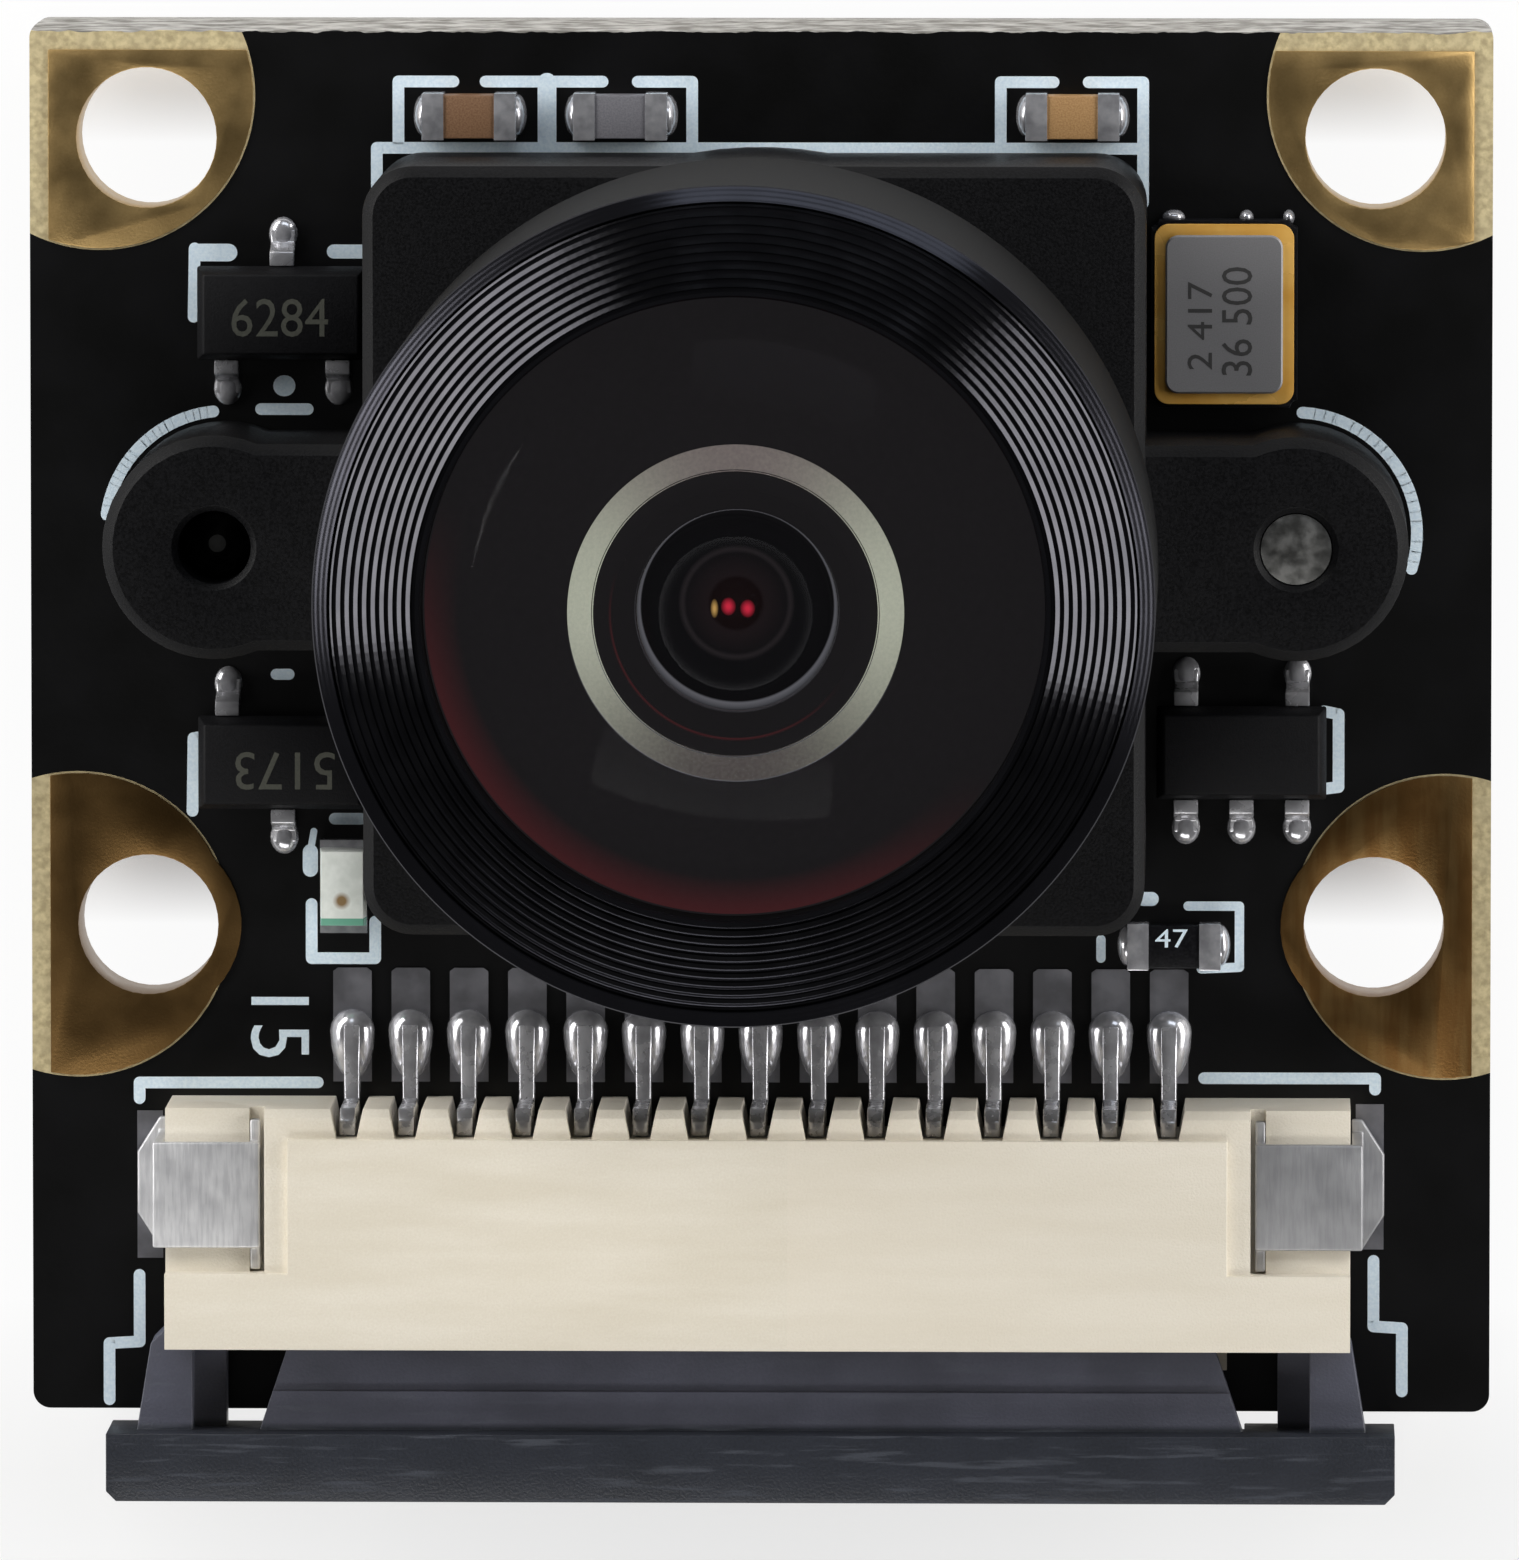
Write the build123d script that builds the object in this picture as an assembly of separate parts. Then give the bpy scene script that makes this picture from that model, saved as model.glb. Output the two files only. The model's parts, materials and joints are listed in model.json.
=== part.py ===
from build123d import *
from math import sqrt
import os

os.makedirs("parts", exist_ok=True)

# A camera module on a 25 x 24 mm board, in millimetres.
# The origin is the centre of the four mounting holes, on the board's back face.
# +X is right and +Y is up as the lens side is looked at, and +Z points out of the lens.
# Heights are measured from the board's lens side.

# Board
BOARD_THICKNESS = 1.6
BOARD_CORNER_RADIUS = 0.3
SCORE_WIDTH = 0.18
SCORE_DEPTH = 0.35
MOUNTING_HOLE_RADIUS = 1.2
HOLE_PAST_EAR_SCREW = 1.35
HOLE_PAST_HOLDER_END = 0.25
HOLE_TO_SIDE_EDGE = 2.0
HOLE_TO_TOP_EDGE = 2.0
CONNECTOR_TO_LOWER_EDGE = 1.3

# Plated mounting lands
PLATING = 0.05
LAND_EDGE_MARGIN = 0.32
TOP_LAND_RADIUS = 2.63
TOP_LAND_OFFSET_X = 0.8
TOP_LAND_OFFSET_Y = 0.73
LOWER_LAND_RADIUS = 2.6
LOWER_LAND_OFFSET_X = 1.2
LAND_EYE_WIDTH = 0.4

# Lens holder
THREAD_RADIUS = 6.0
THREAD_CLEARANCE = 0.05
COLLAR_WALL = 0.55
BLOCK_END_WALL = 0.45
HOLDER_CORNER_RADIUS = 0.85
HOLDER_BLOCK_HEIGHT = 4.8
HOLDER_COLLAR_HEIGHT = 7.9
HOLDER_EDGE = 0.18
SENSOR_CAVITY = 9.8
HOLDER_LEDGE = 0.3
HOLDER_LEDGE_WIDTH = 1.6
EAR_REACH = 2.55
EAR_RADIUS = 1.9
EAR_NECK_WIDTH = 3.5
EAR_HEIGHT = 4.0
EAR_HOLE_MOUTH = 0.1

# Screws that hold the holder, driven from the back
SCREW_RADIUS = 0.6
SCREW_HEAD_WIDTH = 0.65
SCREW_HEAD_HEIGHT = 0.8
SCREW_HEAD_ROUND = 0.3
SCREW_TIP_LENGTH = 0.6
SCREW_TIP_RADIUS = 0.15
LEFT_SCREW_SHORTFALL = 1.1
RIGHT_SCREW_SHORTFALL = 0.12
CROSS_WIDTH = 0.28
CROSS_SPAN = 1.4
CROSS_DEPTH = 0.4
SCREW_THREAD_CLEARANCE = 0.02
BOARD_SCREW_CLEARANCE = 0.15

# Image sensor
SENSOR_WIDTH = 5.6
SENSOR_LENGTH = 4.8
SENSOR_HEIGHT = 0.6
COVER_GLASS_THICKNESS = 0.4
COVER_GLASS_MARGIN = 0.1

# Lens barrel
FOCUS_GAP = 0.4
SHANK_LENGTH = 5.4
SHANK_TO_LEDGE = 0.6
HEAD_STEP = 0.85
BARREL_CHAMFER = 0.25
BARREL_WALL = 1.7
REAR_LIP_WIDTH = 0.9
REAR_LIP_THICKNESS = 0.5
RING_THREAD_WALL = 0.6
RING_THREAD_LENGTH = 1.5
ELEMENT_CLEARANCE = 0.03

# Front retaining ring with its turned grooves
RING_SPIGOT_WALL = 0.27
RING_RIM_HEIGHT = 1.0
RING_FACE_RISE = 0.35
RING_LIP_RISE = 0.45
RING_FLAT_WIDTH = 0.1
RING_CHAMFER_WIDTH = 0.26
RING_CHAMFER_DROP = 0.13
GROOVE_COUNT = 10
GROOVE_DEPTH = 0.07

# Glass, spacers and stop, from the front to the rear
FRONT_GLASS_RIM = 0.87
FRONT_DOME_CURVE = 8.5
FRONT_GLASS_EDGE = 2.1
HOLLOW_RADIUS = 1.98
HOLLOW_EXTRA_CURVE = 0.22
HOLLOW_BEVEL_WIDTH = 0.32
HOLLOW_BEVEL_DEPTH = 0.22
SPACER_WALL = 0.5
FRONT_SPACER_HEIGHT = 0.8
SECOND_GLASS_EDGE = 0.75
SECOND_GLASS_CURVE = 6.0
SECOND_DOME_PAST_HOLLOW = 0.9
MIDDLE_SPACER_HEIGHT = 1.0
THIRD_GLASS_EDGE = 2.2
THIRD_GLASS_CURVE = 9.0
STOP_THICKNESS = 0.3
STOP_HOLE_RADIUS = 0.5
REAR_GLASS_EDGE = 2.6
REAR_GLASS_CURVE = 9.0
REAR_SPACER_HEIGHT = 1.5
FIELD_GLASS_EDGE = 2.0
FIELD_GLASS_CURVE = 12.0
FILTER_THICKNESS = 0.3

# Flat-cable connector, fifteen ways
CONTACT_COUNT = 15
CONTACT_PITCH = 1.0
CONTACT_WIDTH = 0.27
HOLDER_TO_CONTACT = 1.95
CONTACT_FOOT_LENGTH = 1.25
HOUSING_DEPTH = 4.1
SLOT_SIDE_ROOM = 1.55
CABLE_SIDE_ROOM = 1.0
CONTACT_SIDE_ROOM = 0.35
SLOT_SIDE_WALL = 0.3
ARM_RECESS_WIDTH = 1.25
SLOT_FLOOR = 0.4
CABLE_GAP = 0.6
CONTACT_HEADROOM = 0.25
HOUSING_ROOF = 0.5
PLATEAU_RISE = 0.15
PLATEAU_SETBACK = 0.5
FRONT_BAR_DEPTH = 1.3
FRONT_LIP_LENGTH = 0.55
REAR_CHAMFER = 0.14
REAR_WALL = 0.48
NOTCH_SIDE_GAP = 0.045
NOTCH_FLARE = 0.1
END_POCKET_DROP = 0.25
END_SLOT_WIDTH = 0.26
END_SLOT_OVERHANG = 0.15
END_SLOT_FLOOR = 0.2
CONTACT_FOOT_THICKNESS = 0.32
CONTACT_HEEL_RISE = 0.1
CONTACT_BEAM = 0.2
CONTACT_BUMP = 0.12
CONTACT_SEAT_GAP = 0.02
LOWER_BEAM_SETBACK = 0.5
UPPER_BEAM_SETBACK = 1.2

# Stamped hold-down tabs
TAB_THICKNESS = 0.18
TAB_REAR_GAP = 0.57
TAB_FRONT_GAP = 0.42
TAB_LEG_OVERHANG = 0.38
TAB_LEG_GAP = 0.05
TAB_SIDE_GAP = 0.03
TAB_FOOT_REACH = 0.38
TAB_FOOT_OVERHANG = 0.22

# Slide lock, drawn pulled open
LOCK_TRAVEL = 1.44
LOCK_CLOSED_GAP = 0.05
LOCK_SIDE_PLAY = 0.15
LOCK_SIDE_SHIFT = -0.13
LOCK_BAR_OVERHANG = 0.9
LOCK_BAR_DEPTH = 1.16
LOCK_BAR_LOW = 0.15
LOCK_BAR_RISE = 0.6
LOCK_BAR_CHAMFER = 0.17
CABLE_WINDOW_ROOM = 0.3
TONGUE_THICKNESS = 0.6
TONGUE_CLEARANCE = 0.1
TONGUE_TAPER = 0.5
TONGUE_STEP = 0.14
TONGUE_STEP_LENGTH = 0.68
TONGUE_REACH = 0.76
TONGUE_TIP_BEVEL = 0.3
ARM_LOW = 0.3
ARM_REACH = 0.56
ARM_END_ROOM = 0.3
ARM_TIP_WIDTH = 0.15
ARM_FRONT_WIDTH = 0.71
ARM_ROOT_WIDTH = 0.95
LOWER_ARM_WIDTH = 0.55
LOWER_ARM_HEIGHT = 0.9

# Small board parts
CHIP_LENGTH = 1.6
CHIP_WIDTH = 0.8
CHIP_HEIGHT = 0.8
CHIP_END = 0.37
CHIP_END_SKIN = 0.03
RESISTOR_HEIGHT = 0.45
LED_BASE_HEIGHT = 0.3
LED_LENS_HEIGHT = 0.75
LED_LENS_LENGTH = 1.35
LED_LENS_DRAFT = 5
SOT_LENGTH = 2.9
SOT_WIDTH = 1.6
SOT_HEIGHT = 1.05
SOT_LIFT = 0.1
SOT_DRAFT = 0.12
SOT_PITCH = 0.95
LEAD_WIDTH = 0.42
LEAD_THICKNESS = 0.13
LEAD_FOOT = 0.35
LEAD_SPREAD = 0.6
LEAD_EXIT_HEIGHT = 0.55
OSCILLATOR_WIDTH = 2.5
OSCILLATOR_LENGTH = 3.2
OSCILLATOR_BASE_HEIGHT = 0.62
OSCILLATOR_RING_HEIGHT = 0.08
OSCILLATOR_RING_MARGIN = 0.06
OSCILLATOR_LID_MARGIN = 0.25
OSCILLATOR_LID_HEIGHT = 0.1

# Room between the small parts and the lens holder's block or ears
UPPER_CHIP_GAP = 0.24
RESISTOR_GAP = 0.17
LED_GAP = 0.14
OSCILLATOR_GAP = 0.07
OSCILLATOR_EAR_GAP = 0.29
LEFT_REGULATOR_GAP = 0.11
UPPER_REGULATOR_EAR_GAP = 0.48
LOWER_REGULATOR_EAR_GAP = 0.62
RIGHT_REGULATOR_GAP = 0.18
RIGHT_REGULATOR_EAR_GAP = 0.42
CAPACITOR_LEFT_INSET = 1.64
BEAD_INSET = 4.22
CAPACITOR_RIGHT_INSET = 1.27
RESISTOR_PAST_SIDE = 0.48
LED_INSET = 0.43

# Worked out from the sizes above: holder and board
BORE_RADIUS = THREAD_RADIUS + THREAD_CLEARANCE
HOLDER_HALF_WIDTH = BORE_RADIUS + COLLAR_WALL
HOLDER_HALF_LENGTH = BORE_RADIUS + BLOCK_END_WALL
EAR_OFFSET = HOLDER_HALF_WIDTH + EAR_REACH
CONTACT_TOE = -(HOLDER_HALF_LENGTH + HOLDER_TO_CONTACT)
HOUSING_REAR = CONTACT_TOE - CONTACT_FOOT_LENGTH
HOUSING_FRONT = HOUSING_REAR - HOUSING_DEPTH
HOLE_HALF_X = EAR_OFFSET + HOLE_PAST_EAR_SCREW
HOLE_HALF_Y = HOLDER_HALF_LENGTH + HOLE_PAST_HOLDER_END
BOARD_HALF_WIDTH = HOLE_HALF_X + HOLE_TO_SIDE_EDGE
BOARD_TOP_EDGE = HOLE_HALF_Y + HOLE_TO_TOP_EDGE
BOARD_LOWER_EDGE = HOUSING_FRONT - CONNECTOR_TO_LOWER_EDGE

# Worked out from the sizes above: heights and radii of the lens
HEAD_REAR = HOLDER_COLLAR_HEIGHT + FOCUS_GAP
SHANK_REAR = HEAD_REAR - SHANK_LENGTH
HOLDER_THREAD_START = SHANK_REAR - SHANK_TO_LEDGE
FILTER_LOW = SHANK_REAR + REAR_LIP_THICKNESS
FIELD_GLASS_LOW = FILTER_LOW + FILTER_THICKNESS
REAR_SPACER_LOW = FIELD_GLASS_LOW + FIELD_GLASS_EDGE
REAR_GLASS_LOW = REAR_SPACER_LOW + REAR_SPACER_HEIGHT
STOP_LOW = REAR_GLASS_LOW + REAR_GLASS_EDGE
THIRD_GLASS_LOW = STOP_LOW + STOP_THICKNESS
MIDDLE_SPACER_LOW = THIRD_GLASS_LOW + THIRD_GLASS_EDGE
SECOND_GLASS_LOW = MIDDLE_SPACER_LOW + MIDDLE_SPACER_HEIGHT
FRONT_SPACER_LOW = SECOND_GLASS_LOW + SECOND_GLASS_EDGE
FRONT_GLASS_LOW = FRONT_SPACER_LOW + FRONT_SPACER_HEIGHT
RING_LIP = FRONT_GLASS_LOW + FRONT_GLASS_EDGE
HEAD_TOP = RING_LIP - RING_LIP_RISE
RING_OUTER_TOP = HEAD_TOP + RING_RIM_HEIGHT
RING_INNER_TOP = RING_OUTER_TOP + RING_FACE_RISE
HEAD_RADIUS = THREAD_RADIUS + HEAD_STEP
RING_THREAD_RADIUS = HEAD_RADIUS - RING_THREAD_WALL
RING_SPIGOT_RADIUS = RING_THREAD_RADIUS - THREAD_CLEARANCE
FRONT_BORE_RADIUS = RING_SPIGOT_RADIUS - RING_SPIGOT_WALL
FRONT_GLASS_RADIUS = FRONT_BORE_RADIUS - ELEMENT_CLEARANCE
FRONT_DOME_RADIUS = FRONT_GLASS_RADIUS - FRONT_GLASS_RIM
RING_INNER_RADIUS = FRONT_DOME_RADIUS + ELEMENT_CLEARANCE
INNER_BORE_RADIUS = THREAD_RADIUS - BARREL_WALL
INNER_GLASS_RADIUS = INNER_BORE_RADIUS - ELEMENT_CLEARANCE
STEPPED_BORE_RADIUS = INNER_BORE_RADIUS + SPACER_WALL
STEPPED_GLASS_RADIUS = STEPPED_BORE_RADIUS - ELEMENT_CLEARANCE
REAR_LIP_RADIUS = INNER_BORE_RADIUS - REAR_LIP_WIDTH

# Worked out from the sizes above: the connector and its lock
ROW_HALF = (CONTACT_COUNT - 1) / 2 * CONTACT_PITCH
CABLE_HALF_WIDTH = ROW_HALF + CABLE_SIDE_ROOM
SLOT_HALF_WIDTH = ROW_HALF + SLOT_SIDE_ROOM
ARM_RECESS_INNER = SLOT_HALF_WIDTH + SLOT_SIDE_WALL
HOUSING_HALF_WIDTH = ARM_RECESS_INNER + ARM_RECESS_WIDTH
END_SLOT_INNER = SLOT_HALF_WIDTH - END_SLOT_OVERHANG
END_SLOT_OUTER = END_SLOT_INNER + END_SLOT_WIDTH
TONGUE_LOW = SLOT_FLOOR + CABLE_GAP
TONGUE_TOP = TONGUE_LOW + TONGUE_THICKNESS
SLOT_CEILING = TONGUE_TOP + TONGUE_CLEARANCE
CONTACT_CEILING = SLOT_CEILING + CONTACT_HEADROOM
HOUSING_TOP = CONTACT_CEILING + HOUSING_ROOF
POCKET_FLOOR = HOUSING_TOP - END_POCKET_DROP
POCKET_FRONT = HOUSING_FRONT + FRONT_BAR_DEPTH
SLOT_REAR = HOUSING_REAR - REAR_WALL
LOCK_BAR_REAR = HOUSING_FRONT - LOCK_TRAVEL - LOCK_CLOSED_GAP
LOCK_BAR_HALF_WIDTH = HOUSING_HALF_WIDTH + LOCK_BAR_OVERHANG
TONGUE_ROOT_HALF_WIDTH = SLOT_HALF_WIDTH - LOCK_SIDE_PLAY
LOWER_ARM_INNER = ARM_RECESS_INNER + LOCK_SIDE_PLAY
ARM_INNER = LOWER_ARM_INNER + LOWER_ARM_WIDTH

# Worked out from the sizes above: places of the small parts
UPPER_CHIP_Y = HOLDER_HALF_LENGTH + UPPER_CHIP_GAP + CHIP_WIDTH / 2
CAPACITOR_LEFT_AT = (-(HOLDER_HALF_WIDTH - CAPACITOR_LEFT_INSET), UPPER_CHIP_Y)
BEAD_AT = (-(HOLDER_HALF_WIDTH - BEAD_INSET), UPPER_CHIP_Y)
CAPACITOR_RIGHT_AT = (HOLDER_HALF_WIDTH - CAPACITOR_RIGHT_INSET, UPPER_CHIP_Y)
LED_AT = (-(HOLDER_HALF_WIDTH + LED_GAP + CHIP_WIDTH / 2), -(HOLDER_HALF_LENGTH - LED_INSET))
RESISTOR_AT = (
    HOLDER_HALF_WIDTH + RESISTOR_PAST_SIDE,
    -(HOLDER_HALF_LENGTH + RESISTOR_GAP + CHIP_WIDTH / 2),
)
OSCILLATOR_AT = (
    HOLDER_HALF_WIDTH + OSCILLATOR_GAP + OSCILLATOR_WIDTH / 2,
    EAR_RADIUS + OSCILLATOR_EAR_GAP + OSCILLATOR_LENGTH / 2,
)
SOT_HALF_SPAN = SOT_WIDTH / 2 + LEAD_SPREAD
LEFT_REGULATOR_X = -(HOLDER_HALF_WIDTH + LEFT_REGULATOR_GAP + SOT_LENGTH / 2)
REGULATOR_UPPER_AT = (LEFT_REGULATOR_X, EAR_RADIUS + UPPER_REGULATOR_EAR_GAP + SOT_HALF_SPAN)
REGULATOR_LOWER_AT = (LEFT_REGULATOR_X, -(EAR_RADIUS + LOWER_REGULATOR_EAR_GAP + SOT_HALF_SPAN))
REGULATOR_RIGHT_AT = (
    HOLDER_HALF_WIDTH + RIGHT_REGULATOR_GAP + SOT_LENGTH / 2,
    -(EAR_RADIUS + RIGHT_REGULATOR_EAR_GAP + SOT_HALF_SPAN),
)

# How far a cutting shape runs past the face that it cuts
CUT = 1.0


def z_of(height):
    """Z of a height above the board's lens side."""
    return BOARD_THICKNESS + height


def block(x_low, x_high, y_low, y_high, z_low, z_high):
    """A box between two opposite corners."""
    box = Box(x_high - x_low, y_high - y_low, z_high - z_low)
    centre = ((x_low + x_high) / 2, (y_low + y_high) / 2, (z_low + z_high) / 2)
    return Pos(*centre) * box


def cylinder(x, y, radius, z_low, z_high):
    """An upright cylinder between two levels."""
    return Pos(x, y, (z_low + z_high) / 2) * Cylinder(radius, z_high - z_low)


def prism_up(points, z_low, z_high):
    """An outline in X and Y, raised between two levels."""
    face = make_face(Polyline(*points, close=True))
    return extrude(Pos(0, 0, z_low) * face, z_high - z_low, dir=(0, 0, 1))


def prism_across(points, x_low, x_high):
    """An outline in Y and height, raised along X."""
    corners = [(x_low, y, z_of(height)) for y, height in points]
    face = make_face(Polyline(*corners, close=True))
    return extrude(face, x_high - x_low, dir=(1, 0, 0))


def prism_along(points, y_low, y_high):
    """An outline in X and height, raised along Y."""
    corners = [(x, y_low, z_of(height)) for x, height in points]
    face = make_face(Polyline(*corners, close=True))
    return extrude(face, y_high - y_low, dir=(0, 1, 0))


def mirrored(points, side, shift=0.0):
    """Outline points with their first number flipped for the left side, then shifted."""
    return [(shift + side * x, other) for x, other in points]


def turned_polygon(points):
    """A solid turned about the lens axis from corners given as radius and height."""
    corners = [(radius, 0, z_of(height)) for radius, height in points]
    return revolve(make_face(Polyline(*corners, close=True)), Axis.Z)


def arc_on_axis(radius, height, curve):
    """A dome's line, from its top on the lens axis down to its rim."""
    half = radius / 2
    sag = curve - sqrt(curve ** 2 - radius ** 2)
    half_sag = curve - sqrt(curve ** 2 - half ** 2)
    top = z_of(height) + sag
    return ThreePointArc((0, 0, top), (half, 0, top - half_sag), (radius, 0, z_of(height)))


def flat_on_axis(radius, height):
    """A flat face's line, from the lens axis out to a radius."""
    return Line((0, 0, z_of(height)), (radius, 0, z_of(height)))


def turned_glass(front, rim, back):
    """A glass turned from its front line, the corners of its rim and its back line."""
    corners = [front @ 1] + [(radius, 0, z_of(height)) for radius, height in rim] + [back @ 1]
    outline = front + Polyline(*corners) + back + Line(back @ 0, front @ 0)
    return revolve(make_face(outline), Axis.Z)


def mounting_hole_places():
    """Centres of the four mounting holes."""
    return [(side * HOLE_HALF_X, level * HOLE_HALF_Y) for side in (-1, 1) for level in (-1, 1)]


def screw_places():
    """Centres of the two screws in the holder's ears."""
    return [(-EAR_OFFSET, 0), (EAR_OFFSET, 0)]


def circuit_board():
    """The laminate, its holes, and the rough bevel left by the score line at the top edge."""
    middle_y = (BOARD_TOP_EDGE + BOARD_LOWER_EDGE) / 2
    length = BOARD_TOP_EDGE - BOARD_LOWER_EDGE
    outline = RectangleRounded(2 * BOARD_HALF_WIDTH, length, BOARD_CORNER_RADIUS)
    board = extrude(Pos(0, middle_y, 0) * outline, BOARD_THICKNESS)
    past = BOARD_HALF_WIDTH + CUT
    for face, into in ((0, -1), (-BOARD_THICKNESS, 1)):
        bevel = [
            (BOARD_TOP_EDGE - SCORE_WIDTH, face),
            (BOARD_TOP_EDGE, face + into * SCORE_DEPTH),
            (BOARD_TOP_EDGE + CUT, face + into * SCORE_DEPTH),
            (BOARD_TOP_EDGE + CUT, face - into * CUT),
            (BOARD_TOP_EDGE - SCORE_WIDTH, face - into * CUT),
        ]
        board -= prism_across(bevel, -past, past)
    top = BOARD_THICKNESS + CUT
    for x, y in mounting_hole_places():
        board -= cylinder(x, y, MOUNTING_HOLE_RADIUS + PLATING, -CUT, top)
    for x, y in screw_places():
        board -= cylinder(x, y, SCREW_RADIUS + BOARD_SCREW_CLEARANCE, -CUT, top)
    return board


def land_outline(x, y):
    """The copper outline round one mounting hole, inside the board's edge margin."""
    side = 1 if x > 0 else -1
    if y > 0:
        centre = (x + side * TOP_LAND_OFFSET_X, y + TOP_LAND_OFFSET_Y)
        copper = Pos(*centre) * Circle(TOP_LAND_RADIUS)
    else:
        copper = Pos(x + side * LOWER_LAND_OFFSET_X, y) * Circle(LOWER_LAND_RADIUS)
        copper += Pos(x, y) * Circle(MOUNTING_HOLE_RADIUS + LAND_EYE_WIDTH)
    limit_x = BOARD_HALF_WIDTH - LAND_EDGE_MARGIN
    limit_top = BOARD_TOP_EDGE - SCORE_WIDTH - LAND_EDGE_MARGIN
    limit_low = BOARD_LOWER_EDGE + LAND_EDGE_MARGIN
    limit = Pos(0, (limit_top + limit_low) / 2) * Rectangle(2 * limit_x, limit_top - limit_low)
    return copper & limit


def mounting_lands():
    """Four plated holes: a land on each face and the tube that joins them."""
    lands = []
    top = BOARD_THICKNESS + PLATING
    for x, y in mounting_hole_places():
        outline = land_outline(x, y)
        spool = Pos(0, 0, BOARD_THICKNESS) * extrude(outline, PLATING)
        spool += Pos(0, 0, -PLATING) * extrude(outline, PLATING)
        spool += cylinder(x, y, MOUNTING_HOLE_RADIUS + PLATING, -PLATING, top)
        spool -= cylinder(x, y, MOUNTING_HOLE_RADIUS, -CUT, top + CUT)
        lands.append(spool)
    return Compound(lands)


def ear_outline():
    """Both ears and their necks, as one outline across the holder."""
    outline = Rectangle(2 * EAR_OFFSET, EAR_NECK_WIDTH)
    for x, y in screw_places():
        outline += Pos(x, y) * Circle(EAR_RADIUS)
    return outline


def lens_holder():
    """Moulded block with a round threaded collar, a sensor cavity and two screw ears."""
    base = z_of(0)
    block_outline = RectangleRounded(2 * HOLDER_HALF_WIDTH, 2 * HOLDER_HALF_LENGTH, HOLDER_CORNER_RADIUS)
    body = extrude(Pos(0, 0, base) * block_outline, HOLDER_BLOCK_HEIGHT)
    body = chamfer(body.faces().sort_by(Axis.Z)[-1].edges(), HOLDER_EDGE)
    ears = extrude(Pos(0, 0, base) * ear_outline(), EAR_HEIGHT)
    ears = chamfer(ears.faces().sort_by(Axis.Z)[-1].edges(), HOLDER_EDGE)
    collar = cylinder(0, 0, BORE_RADIUS + COLLAR_WALL, base, z_of(HOLDER_COLLAR_HEIGHT))
    collar = chamfer(collar.faces().sort_by(Axis.Z)[-1].edges(), HOLDER_EDGE)
    body = body + ears + collar
    thread_start = z_of(HOLDER_THREAD_START)
    body -= cylinder(0, 0, BORE_RADIUS, thread_start, z_of(HOLDER_COLLAR_HEIGHT) + CUT)
    body -= cylinder(0, 0, BORE_RADIUS - HOLDER_LEDGE_WIDTH, base - CUT, thread_start + CUT)
    half = SENSOR_CAVITY / 2
    body -= block(-half, half, -half, half, base - CUT, thread_start - HOLDER_LEDGE)
    hole = SCREW_RADIUS + SCREW_THREAD_CLEARANCE
    top = z_of(EAR_HEIGHT)
    for x, y in screw_places():
        body -= cylinder(x, y, hole, base - CUT, top + CUT)
        body -= Pos(x, y, top - EAR_HOLE_MOUTH / 2) * Cone(hole, hole + EAR_HOLE_MOUTH, EAR_HOLE_MOUTH)
    return body


def cross_recess(x, y):
    """The cross in a screw's head, cut from behind the board."""
    low = -SCREW_HEAD_HEIGHT - CUT
    high = -SCREW_HEAD_HEIGHT + CROSS_DEPTH
    long_half = CROSS_SPAN / 2
    short_half = CROSS_WIDTH / 2
    cross = block(x - long_half, x + long_half, y - short_half, y + short_half, low, high)
    return cross + block(x - short_half, x + short_half, y - long_half, y + long_half, low, high)


def pan_screw(x, y, shortfall, pointed):
    """One screw: rounded head behind the board, and a shank up into the ear."""
    end = z_of(EAR_HEIGHT - shortfall)
    shoulder = end - SCREW_TIP_LENGTH if pointed else end
    head = Cylinder(SCREW_RADIUS + SCREW_HEAD_WIDTH, SCREW_HEAD_HEIGHT)
    head = fillet(head.faces().sort_by(Axis.Z)[0].edges(), SCREW_HEAD_ROUND)
    screw = Pos(x, y, -SCREW_HEAD_HEIGHT / 2) * head
    screw += cylinder(x, y, SCREW_RADIUS, -SCREW_HEAD_HEIGHT / 2, shoulder)
    if pointed:
        tip = Cone(SCREW_RADIUS, SCREW_TIP_RADIUS, SCREW_TIP_LENGTH)
        screw += Pos(x, y, shoulder + SCREW_TIP_LENGTH / 2) * tip
    return screw - cross_recess(x, y)


def holder_screws():
    """The left screw stops short with its point showing; the right one ends level with its ear."""
    left_at, right_at = screw_places()
    left = pan_screw(*left_at, LEFT_SCREW_SHORTFALL, True)
    right = pan_screw(*right_at, RIGHT_SCREW_SHORTFALL, False)
    return Compound([left, right])


def image_sensor():
    """Sensor package on the board, on the lens axis."""
    half_x = SENSOR_WIDTH / 2
    half_y = SENSOR_LENGTH / 2
    return block(-half_x, half_x, -half_y, half_y, z_of(0), z_of(SENSOR_HEIGHT))


def sensor_cover_glass():
    """Window bonded over the sensor."""
    half_x = SENSOR_WIDTH / 2 - COVER_GLASS_MARGIN
    half_y = SENSOR_LENGTH / 2 - COVER_GLASS_MARGIN
    top = SENSOR_HEIGHT + COVER_GLASS_THICKNESS
    return block(-half_x, half_x, -half_y, half_y, z_of(SENSOR_HEIGHT), z_of(top))


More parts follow.
